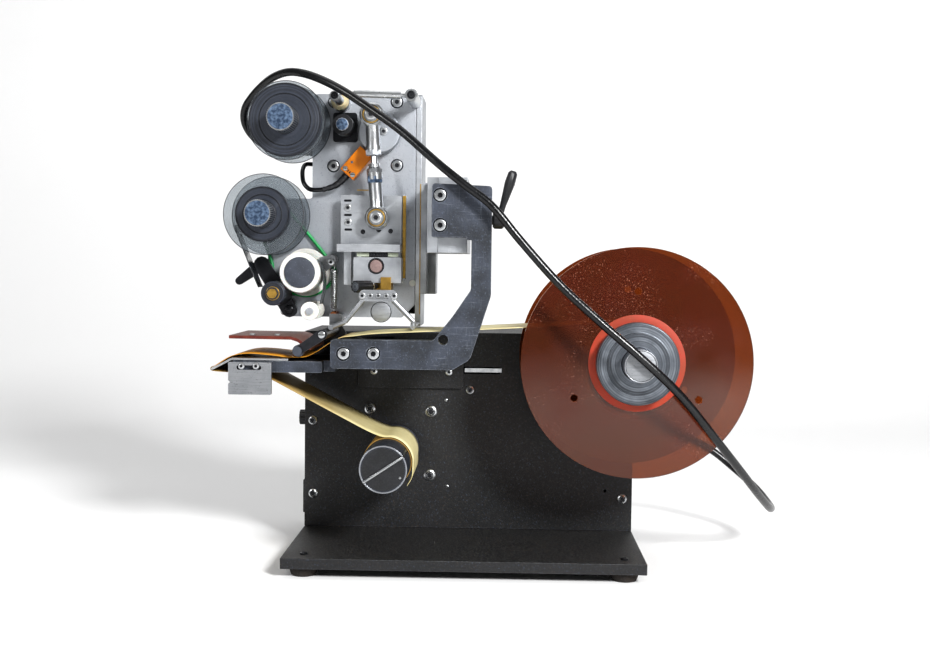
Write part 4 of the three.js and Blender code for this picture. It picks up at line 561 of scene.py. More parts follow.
# A plate cut from an outline in XZ between two Y values, with holes
def plate(name, outline, ys, look, body, holes=(), **more):
    xs, zs = [p[0] for p in outline], [p[1] for p in outline]
    front, back = ys
    heart = ((min(xs) + max(xs)) / 2, (front + back) / 2, (min(zs) + max(zs)) / 2)
    work = bmesh.new()
    for loop in (outline, *holes):
        verts = [work.verts.new(((x - heart[0]) / 1000, (front - heart[1]) / 1000, (z - heart[2]) / 1000))
                 for x, z in loop]
        for k, vert in enumerate(verts):
            work.edges.new((vert, verts[(k + 1) % len(verts)]))
    bmesh.ops.triangle_fill(work, edges=work.edges[:], use_beauty=True)
    bmesh.ops.dissolve_limit(work, angle_limit=0.01, verts=work.verts, edges=work.edges)
    grown = bmesh.ops.extrude_face_region(work, geom=work.faces[:])
    moved = [g for g in grown["geom"] if isinstance(g, bmesh.types.BMVert)]
    bmesh.ops.translate(work, verts=moved, vec=(0, (back - front) / 1000, 0))
    bmesh.ops.recalc_face_normals(work, faces=work.faces)
    mesh = bpy.data.meshes.new(name)
    work.to_mesh(mesh)
    work.free()
    return settle(name, mesh, look, body, pose=poseOf(heart), **more)


def block(name, xs, ys, zs, look, body, corner=0.6, edge=0.3):
    outline = [(xs[0], zs[0], corner), (xs[1], zs[0], corner), (xs[1], zs[1], corner), (xs[0], zs[1], corner)]
    return plate(name, rounded(outline), ys, look, body, edge=edge)


# A tube along points, with its rings carried along without twisting. The taper gives a width for each share
# of the way.
def sweepMesh(name, line, radius, sides=12, closed=False, heart=(0, 0, 0), taper=None):
    points = []
    line = [Vector(p) for p in line]
    count = len(line)
    side = None
    for i, here in enumerate(line):
        before = line[i - 1] if (i or closed) else here
        after = line[(i + 1) % count] if (i < count - 1 or closed) else here
        along = (after - before).normalized()
        if side is None:
            side = along.orthogonal().normalized()
        side = (side - along * side.dot(along)).normalized()
        across = along.cross(side)
        wide = radius * (taper(i / (count - 1)) if taper else 1)
        for k in range(sides):
            angle = 2 * math.pi * k / sides
            points.append(here + (side * math.cos(angle) + across * math.sin(angle)) * wide)
    faces = bandFaces(count, sides, closed)
    if not closed:
        faces.append(tuple(range(sides))[::-1])
        faces.append(tuple(range((count - 1) * sides, count * sides)))
    return solidMesh(name, points, faces, heart)


def wire(name, line, radius, look, body, sides=12, closed=False, taper=None, **more):
    heart = Vector(line[0])
    mesh = sweepMesh(name, line, radius, sides, closed, heart, taper)
    return settle(name, mesh, look, body, pose=poseOf(heart), angle=60, **more)


# A thin sheet that follows a smooth path in XZ between two Y values
def sheetStrip(name, path, steps, thick, ys, look, body, **more):
    line = spline([(x, 0, z) for x, z in path], steps)
    front, back = ys
    rows = 6
    heart = (line[0].x, (front + back) / 2, line[0].z)
    points = [(p.x, front + (back - front) * k / rows, p.z) for p in line for k in range(rows + 1)]
    faces = []
    for i in range(len(line) - 1):
        for k in range(rows):
            a = i * (rows + 1) + k
            faces.append((a, a + 1, a + rows + 2, a + rows + 1))
    mesh = solidMesh(name, points, faces, heart)
    return settle(name, mesh, look, body, pose=poseOf(heart), thick=thick, angle=50, **more)


# The same shape as a CAD node, welded, with its edges eased. Where it turns round an axis, its facets are cut
# finer and pushed out to the circle. spin is an axis along Y at (x, z), and axis is a point and a direction.
# Lengths here are metres.
fineCut = {"weld": 0.00002, "flat": 0.02, "shortest": 0.0004, "core": 0.0008, "level": 0.00003}


def refined(node, look, body, edge=0.4, angle=35, spin=None, axis=None, cuts=2):
    if spin:
        axis = ((spin[0], 0, spin[1]), inAxis)
    low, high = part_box(node)
    heart = at(*axis[0]) if axis else (low + high) / 2
    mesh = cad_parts[node].data.copy()
    mesh.transform(Matrix.Translation(-heart))
    work = bmesh.new()
    work.from_mesh(mesh)
    bmesh.ops.remove_doubles(work, verts=work.verts, dist=fineCut["weld"])
    bmesh.ops.dissolve_limit(work, angle_limit=fineCut["flat"], verts=work.verts, edges=work.edges)
    if axis:
        direction = Vector(axis[1]).normalized()
        layer = work.verts.layers.float.new("reach")
        for vert in work.verts:
            vert[layer] = (vert.co - direction * vert.co.dot(direction)).length
        chosen = [e for e in work.edges
                  if e.calc_length() > fineCut["shortest"] and e.verts[0][layer] > fineCut["core"]
                  and abs(e.verts[0][layer] - e.verts[1][layer]) < fineCut["level"]
                  and abs((e.verts[0].co - e.verts[1].co).dot(direction)) < fineCut["level"]]
        bmesh.ops.subdivide_edges(work, edges=chosen, cuts=cuts)
        for vert in work.verts:
            axial = direction * vert.co.dot(direction)
            radial = vert.co - axial
            if radial.length > tiny and radial.length < vert[layer] * 1.001:
                vert.co = axial + radial.normalized() * vert[layer]
    bmesh.ops.recalc_face_normals(work, faces=work.faces)
    name = f"{node}_shown"
    shown = bpy.data.meshes.new(name)
    work.to_mesh(shown)
    work.free()
    pose = Matrix.Translation(heart)
    if axis and abs(direction.z) < 0.9:  # the rings of a finish run round the piece's own Z
        turn = direction.to_track_quat("Z", "Y").to_matrix().to_4x4()
        shown.transform(turn.inverted())
        pose = pose @ turn
    return settle(name, shown, look, body, stands=node, edge=edge, angle=angle, pose=pose)


# Gives the chosen faces of a piece a second finish
def paintFaces(piece, look, chosen):
    piece.data.materials.append(finishes[look])
    for face in piece.data.polygons:
        if chosen(face):
            face.material_index = 1


# Reach of a hexagon at an angle, from the reach of its corners
def hexReach(corner, angle):
    side = math.pi / 3
    return corner * math.cos(side / 2) / math.cos(angle % side - side / 2)


# A screw head whose ring of 24 points runs in to a hexagon or a slot, with painted shade in its socket. Its
# face looks along the direction, tall is the height of the head and dome that of its crown.
def screwHead(name, face, radius, body, look="zinc", kind="hex", direction=outAxis, tall=2.0, dome=0.0,
              turn=0.0):
    sides = 24
    key = radius * (0.46 if kind == "hex" else 0.95)

    def keyReach(k):
        angle = 2 * math.pi * k / sides
        if kind == "hex":
            return hexReach(key, angle)
        return min(key, radius * 0.13 / max(abs(math.sin(angle)), 0.02))

    depth = min(tall * 0.6, radius * 0.5)
    outside = [(radius * 0.96, -tall), (radius, -tall + 0.1), (radius, -0.35 - dome),
               (radius * 0.93, -0.1 - dome * 0.8), (radius * 0.85, -dome * 0.55)]
    socket = [(1.06, 0.0), (1.0, -0.12), (0.96, -depth)]
    rings = [ringOf(wide, sides, high, turn) for wide, high in outside]
    rings += [ringOf(lambda k: keyReach(k) * share, sides, high, turn) for share, high in socket]
    mesh = stackMesh(name, rings)
    head = settle(name, mesh, look, body, pose=poseOf(face, direction), angle=28)
    shadedSocketFrom = (len(rings) - 2) * sides
    # painted shade: the socket's walls and floor are made dark, for the shade in the recess
    paintFaces(head, "blackSteel", lambda side: shadedSocketFrom <= side.index <= shadedSocketFrom + sides)
    return head


# A row of equal screws that face the front. A place may hold a radius of its own, and each is turned further.
def screwRow(name, facts, body, look="zinc", kind="hex"):
    for k, (x, z, *own) in enumerate(facts["places"]):
        screwHead(f"{name}_{k}", (x, facts["y"], z), own[0] if own else facts["radius"], body, look, kind,
                  tall=facts["tall"], dome=facts.get("dome", 0.0),
                  turn=facts.get("turn", 0.0) + facts.get("twist", 0.0) * k)


def hexNut(name, start, direction, radius, long, look, body, turn=0.0):
    sides = 24
    chamfer = 0.1 * radius

    def full(k):
        return hexReach(radius, 2 * math.pi * k / sides)

    def cut(k):
        return min(full(k), radius * 0.88)

    rings = [ringOf(width, sides, high, turn) for width, high in (
        (cut, 0), (full, chamfer), (full, long - chamfer), (cut, long))]
    return settle(name, stackMesh(name, rings), look, body, pose=poseOf(start, direction), angle=25)


# A knurled or ribbed grip: straight ribs round an axis, with its ends chamfered
def ribbedGrip(name, start, direction, radius, long, ribs, depth, chamfer, look, body):
    rings = [ringOf(lambda k: radius - (depth if k % 4 in (2, 3) else 0) - share * chamfer, ribs * 4, high)
             for share, high in ((1, 0), (0, chamfer), (0, long - chamfer), (1, long))]
    return settle(name, stackMesh(name, rings), look, body, pose=poseOf(start, direction), angle=25)


# Cords: one free lead from the head to the housing, and the short lead of the sensor. The main cord goes on
# no body.
mainCord = {"radius": 3.5, "held": 60, "route": [
    (-141.8, 14, 362), (-152, 14, 361.9), (-166, 14, 361.7), (-181, 13.4, 363.4), (-194, 11.5, 368.4),
    (-203, 7.5, 377), (-206.8, 1.5, 387), (-204.5, -6, 397.5), (-197, -13.5, 406.5), (-186, -24, 415),
    (-173, -38, 421), (-158, -52, 423.2), (-143, -64, 420.4), (-125, -76, 413.2), (-104.9, -86, 402.3),
    (-81, -95, 386.3), (-56.7, -104.5, 368.9), (-22.8, -116.5, 339.6), (-2.1, -120.5, 323.3),
    (19.2, -123, 307.2), (43.1, -125, 279.1), (75.9, -128, 243.1), (108.3, -132.5, 213.7),
    (140.5, -135, 186.2), (173.6, -130, 155.6), (205, -110, 119.4), (232.8, -78, 87.3), (258, -38, 58.5),
    (276, 2, 40), (283.5, 40, 36), (277, 72, 46), (258, 90, 63), (236, 95, 80), (210, 89, 93),
    (186, 77, 99), (170, 70.3, 100), (158.6, 70, 100)]}
sensorCable = {"radius": 2, "route": [
    (-109.5, -28, 336.8), (-112, -28.2, 333.8), (-118, -29, 328.4), (-126, -29.8, 324.8), (-135, -30, 323.2),
    (-142.5, -29.8, 324), (-147.6, -27.8, 329), (-150, -22, 337), (-150.6, -13, 344), (-149.4, -3, 347.6),
    (-145.4, 5, 348.5), (-140, 9.8, 348.5), (-134.4, 10, 348.5)]}
reliefs = {"long": 26, "wide": 6.3, "narrow": 4.0, "rings": 5, "groove": 0.7}  # sizes for the main cord


def lineLength(line):
    return sum((b - a).length for a, b in zip(line, line[1:])) / 1000


def firstPart(line, long):
    out, gone = [], 0.0
    for a, b in zip(line, line[1:]):
        if gone <= long:
            out.append(a)
        gone += (b - a).length
    return out


# A tapered sleeve with grooves round it, along the first stretch of the cord
def strainRelief(name, line, radius, body):
    part = firstPart(line, reliefs["long"])
    count = reliefs["rings"] * 4
    step = (len(part) - 1) / count
    points = [part[min(len(part) - 1, round(k * step))] for k in range(count + 1)]
    points = [p for k, p in enumerate(points) if k == 0 or (p - points[k - 1]).length > 0.2]
    last = len(points) - 1

    def width(share):
        k = round(share * last)
        wide = reliefs["wide"] + (reliefs["narrow"] - reliefs["wide"]) * share
        groove = reliefs["groove"] if k % 4 == 2 and 0 < k < last else 0
        return (wide - groove) * radius / mainCord["radius"]

    return wire(name, points, 1, "mouldedPlastic", body, sides=24, taper=width)


def layCord(name, facts, node, body, toBody=None):
    line = spline(facts["route"], 8)
    mesh = sweepMesh(name, line, facts["radius"], 16)
    mesh.transform(Matrix.Translation(at(0, 0, 0)))
    cord = bpy.data.objects.new(name, mesh)
    bpy.context.scene.collection.objects.link(cord)
    mesh.materials.append(finishes["cordJacket"])
    mesh.shade_smooth()
    path = [at(*p) for p in line]
    if toBody:
        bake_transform(cord)
    else:
        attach(cord, body)
    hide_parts(node)
    return cord, path, line


leadCord, leadPath, leadLine = layCord("lead_jacket", mainCord, "main_cord", "head", "frame")
headRelief = strainRelief("lead_relief_head", leadLine, mainCord["radius"], "head")
baseRelief = strainRelief("lead_relief_base", leadLine[::-1], mainCord["radius"], "frame")
cableCord, cablePath, cableLine = layCord("sensor_lead_jacket", sensorCable, "sensor_cable", "head")
cableRelief = strainRelief("sensor_lead_relief", cableLine, sensorCable["radius"], "head")
print(f"cords laid: {lineLength(leadLine):.2f} m and {lineLength(cableLine):.2f} m")


# Base, feet, panel and cover
for node in ("base_plate", "front_panel", "rear_cover"):
    refined(node, "powderCoat", "frame", edge=0.7)
feet = {"screwHeight": 18.6, "screw": 3.4, "places": {
    "foot_front_left": (-133, -116), "foot_front_right": (133, -116), "foot_rear_left": (-133, 93),
    "foot_rear_right": (133, 93)}}
for node, (x, y) in feet["places"].items():
    refined(node, "rubber", "frame", edge=0.8, axis=((x, y, 0), upAxis))
    screwHead(f"{node}_screw", (x, y, feet["screwHeight"]), feet["screw"], "frame", "blackScrew",
              direction=upAxis, tall=1.5, dome=0.6)
gland = {"place": (150, 70, 100), "nut": (158.2, 70, 100), "radius": 10.5, "long": 3.0}
refined("cord_gland", "mouldedPlastic", "frame", edge=0.5, axis=(gland["place"], rightAxis))
hexNut("gland_nut", gland["nut"], leftAxis, gland["radius"], gland["long"], "mouldedPlastic", "frame")
panelScrews = {"y": -1.5, "tall": 1.6, "dome": 0.9, "twist": 0.4, "places": [
    (-34.3, 124.2, 5.6), (-35.1, 65.7, 5.6), (-90.3, 126.2, 5.2), (1.1, 144.5, 3.9), (-142.6, 114.8, 4.4),
    (-142.2, 47.3, 4.4), (141.2, 46.5, 4.4)]}
panelPins = {"y": -0.6, "radius": 1.4, "tall": 0.7, "dome": 0.4, "places": [(-20.7, 135), (-19, 55.8)]}
screwRow("panel_screw", panelScrews, "frame")
# painted shade: a dark ring round each socket, for the shade of the socket's walls
for k, (x, z, radius) in enumerate(panelScrews["places"]):  # a dark ring round each socket
    flatRing(f"panel_screw_ring_{k}", (x, z), (radius * 0.5, radius * 0.66), (-1.75, -1.4), "blackScrew",
             "frame", sides=32)
screwRow("panel_pin", panelPins, "frame", kind="slot")
block("slot_rail", (-4, 29.8), (1.4, 2.8), (160.6, 164.4), "zinc", "frame", corner=0.3, edge=0.1)
knob = {"place": (-150.3, 30, 114), "pointer": [(-159.05, 30, 115), (-159.05, 30, 119.6)], "line": 0.35}
refined("speed_knob", "mouldedPlastic", "knob", edge=0.35, axis=(knob["place"], leftAxis), cuts=1)
wire("knob_pointer", knob["pointer"], knob["line"], "acetal", "knob", sides=8)
refined("power_rocker", "mouldedPlastic", "rocker", edge=0.5)
print("base and housing done")

# Rewind spindle with the wound liner
rewind = {"axis": (-66.4, 90.5), "motor": (-62.5, 95.6), "mark": (-52.3, -128.5, 83.9)}
refined("rewind_gearmotor", "zinc", "frame", spin=rewind["motor"])
refined("rewind_spindle", "turnedNylon", "rewind", edge=0.6, spin=rewind["axis"])
flatDisc("rewind_face", rewind["axis"], 17.6, (-128.25, -127.9), "mouldedPlastic", "rewind")
screwHead("rewind_mark", rewind["mark"], 1.1, "rewind", kind="slot", tall=0.5, dome=0.2)
flatRing("rewind_face_ring", rewind["axis"], (18.6, 19.8), (-128.3, -126.6), "turnedSteel", "rewind",
         eased=(0.2, 0.2, 0))
flatRing("wound_liner", rewind["axis"], (20.25, 20.9), (-89, -13), "liner", "rewind", eased=(0, 0.2, 0.2),
         stands="liner_roll", sides=96)
refined("rewind_clip", "zinc", "clip", edge=0, angle=70)
print("rewind done")

# Supply reel: shaft, amber discs, collar and the roll of labels, which hangs on the shaft by its core
reel = {"axis": (142.5, 178), "roll": (142.5, 171.8)}
for node, look, edge, cuts in (("reel_shaft", "turnedNylon", 0.5, 1), ("reel_disc_rear", "amber", 0.35, 2),
                               ("reel_disc_front", "amber", 0.35, 2), ("reel_collar", "turnedGrey", 0.6, 2)):
    refined(node, look, "reel", edge=edge, spin=reel["axis"], cuts=cuts)
flatDisc("reel_shaft_face", reel["axis"], 12.2, (-128.25, -127.8), "brushedSteel", "reel", eased=0.1)
for name, radii, ys, look, eased, sides in (
        ("reel_face_ring", (12.6, 13.4), (-128.35, -127), "turnedSteel", (0.2, 0.2, 0), 64),
        # this ring is painted light: the lit end of the roll as seen through the amber disc
        ("roll_glow_ring", (33, 40.6), (-95.35, -94.9), "rollGlowRing", (0, 0.2, 0), 96),
        ("reel_shaft_sleeve", (13.5, 13.62), (-127.6, -108.4), "turnedSteel", (0, 0, 0), 64)):
    flatRing(name, reel["axis"], radii, ys, look, "reel", eased=eased, sides=sides)
flatRing("label_roll_wound", reel["roll"], (38.3, 41.5), (-89, -13), "woundLabels", "roll",
         eased=(0, 0.3, 0.3), stands="label_roll", sides=128)
# painted light: the core and the roll's end are bright orange, for light that the amber disc takes away
flatRing("label_core", reel["roll"], (38.05, 38.3), (-89.2, -12.8), "paintedBrightCore", "roll", sides=96)
flatRing("label_roll_end", reel["roll"], (38.1, 41.3), (-89.5, -89.1), "paintedBrightCore", "roll", sides=96)
print("reel done")

# Label web over the table, and the liner round the peel edge and back to the rewind. Angles are in degrees.
web = {"thick": 0.45, "ys": (-89, -13), "roll": 42.2, "leave": 95, "tip": (-215.3, 168.3), "tipRadius": 1.7,
       "guide": (-173.7, 160.3), "guideRadius": 3.7, "rewound": 21.9}
tipX, tipZ = web["tip"]
guideX, guideZ = web["guide"]
webPath = [around(reel["roll"], web["roll"], web["leave"]), (92, 209.4), (0, 203.6), (-82, 199.2),
           (-97, 197.2), (-105, 196.3), (-110.5, 194.4), (-117, 190.6), (-127, 183.9), (-135.5, 179.6),
           (-141.8, 178.8), (-152, 178.8), (-162, 180), (-178, 181.4), (-188, 181.4), (-199.5, 179.1),
           (tipX + 0.9, tipZ + 1.75)]
sheetStrip("label_web_sheet", webPath, 10, web["thick"], web["ys"], "labelWeb", "frame", stands="label_web")
linerPath = ([around(web["tip"], web["tipRadius"], a) for a in (90, 130, 180, 220, 270)]
             + [(-187.7, guideZ + 4.6), (guideX, guideZ + web["guideRadius"]),
                around(web["guide"], web["guideRadius"], 62), (-165.5, 160.1), (-145, 149.3),
                (-100, 125.8), (-84, 117.6), (-76.2, 114.2)]
             + [around(rewind["axis"], web["rewound"], a) for a in (98, 78, 56, 34, 12, -8)]
             + [(-45.4, 78), (-49.3, 70.6)])
sheetStrip("liner_sheet", linerPath, 8, web["thick"], web["ys"], "liner", "frame", stands="backing_liner")
print("web and liner done")

# Peel side: carriage, table, peel plate, gauge and the hold-down
for node, look, body, edge in (
        ("slide_carriage", "powderCoat", "frame", 0.5), ("peel_table", "coatedCasting", "frame", 0.6),
        ("peel_plate", "zinc", "frame", 0.4), ("gauge_plate", "brushedSteel", "frame", 0.4),
        ("flap_arms", "blackSteel", "flap", 0.4)):
    refined(node, look, body, edge=edge)
holdDown = {"roller": (-141.8, 184.5), "hinge": (-121.5, -98.6, 198.5),
            "screws": [(-181, -90.5, 198.6), (-160, -90.5, 198.6)]}
shown = refined("hold_down_plate", "amberPlate", "flap", angle=20)
paintFaces(shown, "amberEdge", lambda face: abs(face.normal.y) > 0.7)
refined("hold_down_roller", "speckledCap", "flap_roller", spin=holdDown["roller"], cuts=3)
slideScrews = {"y": -5.4, "radius": 3.4, "tall": 1.6, "dome": 0.4, "places": [(-86.5, 161), (-18.1, 161)]}
gaugeScrews = {"y": -100.6, "radius": 2.9, "tall": 1.5, "dome": 0.5,
               "places": [(-188.7, 171.6), (-176.4, 171.7)]}
screwRow("slide_screw", slideScrews, "frame")
screwRow("gauge_screw", gaugeScrews, "frame")
screwHead("hinge_rod_end", holdDown["hinge"], 3.0, "frame", kind="slot", tall=0.9)
for k, place in enumerate(holdDown["screws"]):
    screwHead(f"hold_down_screw_{k}", place, 2.4, "flap", kind="slot", direction=upAxis, tall=1.3, dome=0.3)
print("peel side done")


# C-arm as two layers: the screws sit in wells of the front layer
arm = {"front": -111, "back": -96, "well": 7.0, "wellRadius": 5.7, "hole": (-19.1, 196.3, 4.2)}
armScrews = {"y": -109.8, "radius": 5.0, "tall": 5.6, "turn": 0.3, "twist": 0.5, "places": [
    (-101.8, 183.7), (-76.9, 184), (-22.8, 315.5), (-22.6, 290.9)]}
armOutline = rounded([
    (-112.6, 171.3, 3), (-11.4, 171.3, 6), (3.4, 180.1, 12), (20, 233, 14), (20, 323.3, 3), (-29.5, 325.2, 3),
    (-29.5, 281, 1.5), (-0.6, 281), (-0.6, 279), (3.4, 279), (3.4, 237.9, 6), (-11.1, 216.3, 6),
    (-27.4, 195.6, 5), (-112.6, 195.6, 3)], 6)
armHole = circle(*arm["hole"], 32)
armWells = [circle(x, z, arm["wellRadius"], 40) for x, z in armScrews["places"]]
armMid = arm["front"] + arm["well"]
plate("arm_front_layer", armOutline, (arm["front"], armMid), "coatedCasting", "frame",
      holes=[*armWells, armHole], stands="c_arm", edge=0.7)
plate("arm_rear_layer", armOutline, (armMid, arm["back"]), "coatedCasting", "frame", holes=[armHole],
      edge=0.7)
screwRow("arm_screw", armScrews, "frame")

# Column block and its clamp lever
clamp = {"lever": (0, -65, 297), "screw": (30.4, -65, 297)}
refined("column_block", "milled", "frame", edge=0.5)
refined("clamp_lever", "mouldedPlastic", "clamp", edge=0.5, axis=(clamp["lever"], rightAxis), cuts=1)
screwHead("clamp_screw", clamp["screw"], 3.2, "clamp", direction=rightAxis, tall=0.8)
print("arm and column done")

# Head plate, side plate and rear cover
for node, look, edge in (("head_plate", "blasted", 0.45), ("side_rail", "milled", 0.4),
                         ("head_rear_cover", "powderCoat", 0.6), ("head_gearmotor", "zinc", 0.4)):
    refined(node, look, "head", edge=edge)
headScrews = {"y": -21.2, "radius": 4.6, "tall": 1.3, "twist": 0.7, "places": [
    (-122.5, 345.2), (-65.8, 346.2), (-66.3, 402.3), (-122, 402)]}
headPlug = {"place": (-79, 215.4), "radius": 8.7, "gap": (8.8, 9.4)}
for k, place in enumerate(headScrews["places"]):
    flatRing(f"head_well_{k}", place, (4.7, 5.7), (-20.25, -19.9), "blackSteel", "head", eased=(0.1, 0.1, 0),
             sides=40)
screwRow("head_screw", headScrews, "head")
screwHead("head_low_screw", (-166, -21.6, 215), 3.4, "head", tall=1.7, dome=0.4)
flatDisc("head_plug", headPlug["place"], headPlug["radius"], (-20.5, -19.9), "milled", "head", eased=0.3,
         sides=48)
flatRing("head_plug_ring", headPlug["place"], headPlug["gap"], (-20.2, -19.9), "blackSteel", "head", sides=48)
flatDisc("head_dot", (-51, 241.7), 3.0, (-20.6, -19.9), "acetal", "head", eased=0.3, sides=32)
block("rail_brass_strip", (-44.9, -44.1), (-20.5, -20.0), (214, 330), "brass", "head", corner=0.2, edge=0.1)
block("idler_bracket", (-122.5, -101), (-24.5, -20.3), (366, 392), "blackSteel", "head", corner=2.5)
hexNut("lead_bush_nut", (-140.9, 14, 362), rightAxis, 8.6, 3.2, "mouldedPlastic", "head")

# Foil spools with clear discs. The cut edge of a disc shows as a dark line at the front and at the rear.
spools = {"upper": {"axis": (-158, 380.5), "disc": 34, "hub": 31.5, "knob": 11.7},
          "lower": {"axis": (-177, 300), "disc": 35, "hub": 23.8, "knob": 11.3}}
grip = {"y": -93.9, "long": 23.6, "ribs": 40, "depth": 0.35, "chamfer": 0.4}
for name, facts in spools.items():
    axis, disc, hub, body = facts["axis"], facts["disc"], facts["hub"], f"{name}_foil"
    shown = refined(f"{name}_spool", "turnedNylon", body, edge=0.5, spin=axis)
    corners = shown.data.vertices
    # the rear disc is part of the spool's node: its faces reach out past the hub
    paintFaces(shown, "clear",
               lambda face: max(corners[v].co.xy.length for v in face.vertices) * 1000 > hub + 0.6)
    refined(f"{name}_disc_front", "clear", body, edge=0.25, spin=axis)
    ribbedGrip(f"{name}_knob_grip", (axis[0], grip["y"], axis[1]), inAxis, facts["knob"] + 0.15, grip["long"],
               grip["ribs"], grip["depth"], grip["chamfer"], "zinc", body)
    flatDisc(f"{name}_knob_face", axis, facts["knob"] - 0.9, (-94.2, -93.8), "spangle", body, eased=0.2)
    for side, y in (("front", -64.6), ("rear", -28.1)):
        flatRing(f"{name}_disc_line_{side}", axis, (disc - 0.55, disc), (y, y + 0.3), "blackSteel", body,
                 sides=96)
    for part, outer, front in (("step", hub * 0.72, -70.35), ("lip", hub - 0.5, -70.3)):
        flatRing(f"{name}_hub_{part}", axis, (outer - 0.9, outer), (front, -69.9), "blackSteel", body,
                 eased=(0.3, 0.3, 0), sides=80)
print("head plate and spools done")

# Feed roller, belt, release lever and spring. The slack pairs are an angle and a share of the pulley's reach.
feedAxis = (-145.9, 250.3)
refined("feed_roller", "acetal", "feed", edge=0.5, spin=feedAxis)
flatDisc("feed_cap", feedAxis, 13.4, (-63.1, -62.3), "speckledCap", "feed", eased=0.4)
belt = {"y": -23, "radius": 1.5, "low": spools["lower"]["axis"], "lowRadius": 14.0, "pulley": 20.6,
        "topAngles": [39, 70, 100, 130, 160, 185],
        "slack": [(168, 1.52), (182, 1.47), (200, 1.36), (218, 1.22), (236, 1.09), (254, 1.03), (272, 1.02),
                  (290, 1.02), (308, 1.04), (324, 1.1), (340, 1.18), (355, 1.24), (370, 1.22), (382, 1.15)]}
beltRoute = [around(belt["low"], belt["lowRadius"], a) for a in belt["topAngles"]]
beltRoute += [around(feedAxis, belt["pulley"] * share, a) for a, share in belt["slack"]]
beltLine = spline([(x, belt["y"], z) for x, z in beltRoute], 8, closed=True)
wire("round_belt", beltLine, belt["radius"], "beltGreen", "head", sides=16, closed=True, stands="drive_belt")
refined("feed_lever", "brushedSteel", "trip_lever", edge=0.35)
screwHead("feed_lever_screw", (-121.6, -41.6, 259.5), 3.2, "trip_lever", tall=1.4, dome=0.4)
spring = {"x": -119.6, "y": -34.5, "low": 214.3, "high": 259.5, "radius": 2.8, "wire": 0.45, "turns": 21.5,
          "lead": 4.0, "hook": 7.0, "steps": 16}


# A coil between its two straight ends
def coil(facts):
    steps = facts["steps"]
    count = int(facts["turns"] * steps)
    x, y, radius = facts["x"], facts["y"], facts["radius"]
    low, high = facts["low"] + facts["lead"], facts["high"] - facts["hook"]
    out = [Vector((x, y, facts["low"])), Vector((x + 0.4, y, low - 1.2))]
    for k in range(count + 1):
        angle = 2 * math.pi * k / steps
        out.append(Vector((x + radius * math.cos(angle), y + radius * math.sin(angle),
                           low + (high - low) * k / count)))
    return out + [Vector((x + 0.4, y, high + 1.2)), Vector((x, y, facts["high"]))]


springSpan = [(spring["x"], spring["y"], spring["low"] + 4), (spring["x"], spring["y"], spring["high"] - 2)]
wire("feed_spring_coils", coil(spring), spring["wire"], "zinc", "head", sides=8, stands="feed_spring",
     toBody="trip_lever", span=springSpan)  # it stretches between its post and the lever's stud
hexNut("spring_post", (-119.6, -33.2, 213.2), inAxis, 3.4, 12.8, "copper", "head")
screwHead("spring_post_screw", (-119.6, -38.6, 213.2), 3.0, "head", "copper", "slot", tall=1.6, dome=0.3)

# Pinch arm and rollers, foil wheel and idler
pinch = {"axis": (-167.7, 232.1), "pivot": (-160, -31.6, 217)}
foilWheel, idler = (-137, 217), (-111.4, 379.2)
refined("pinch_arm", "blackSteel", "pinch")
refined("pinch_roller", "turnedNylon", "pinch_wheel", spin=pinch["axis"], cuts=3)
hexNut("pinch_nut", (pinch["axis"][0], -72.6, pinch["axis"][1]), outAxis, 4.7, 1.6, "brass", "pinch_wheel")
flatRing("pinch_washer", pinch["axis"], (3, 6.0), (-70.6, -70.1), "brass", "pinch_wheel", eased=(0, 0.2, 0),
         sides=40)
screwHead("pinch_screw", pinch["pivot"], 4.2, "pinch", "blackScrew", "slot", tall=1.8, dome=0.5)
refined("foil_guide_roller", "acetal", "foil_wheel", edge=0.35, spin=foilWheel, cuts=3)
screwHead("foil_wheel_pin", (foilWheel[0], -64.0, foilWheel[1]), 3.1, "head", kind="slot", tall=1.0, dome=0.3)
refined("foil_idler", "mouldedPlastic", "idler", spin=idler)
flatDisc("idler_pin_face", idler, 5.1, (-50.4, -49.8), "spangle", "head", eased=0.4, sides=40)
print("feed and pinch done")

# Foil guide frame with its clamping screws, the outer two larger
refined("foil_guide_frame", "brushedSteel", "head", angle=30)
stripScrews = {"y": -83.8, "tall": 1.0, "twist": 0.5, "places": [
    (-89.3, 231.4, 2.9), (-82.4, 231.4, 2.2), (-75.6, 231.4, 2.2), (-68.9, 231.4, 2.2), (-62.2, 231.4, 2.9)]}
screwRow("strip_screw", stripScrews, "head")

# Top tie bar and pillars
refined("top_tie_bar", "zinc", "head", edge=0.3, angle=45)
pillarScrews = {"y": -72.9, "tall": 0.9, "places": [(-115.3, 401, 3.2), (-50, 402, 3.6)]}
pillarCone = [(8.2, -33.6, 0.4), (5.2, -39.5, 0.4), (4.5, -39.5), (4.5, -33.6)]
turnedPiece("pillar_cone", pillarCone, (-115.3, 0, 401), inAxis, "creamNylon", "head", closed=True, sides=40)
screwRow("pillar_screw", pillarScrews, "head", look="blackScrew")
print("guide frame and tie bar done")


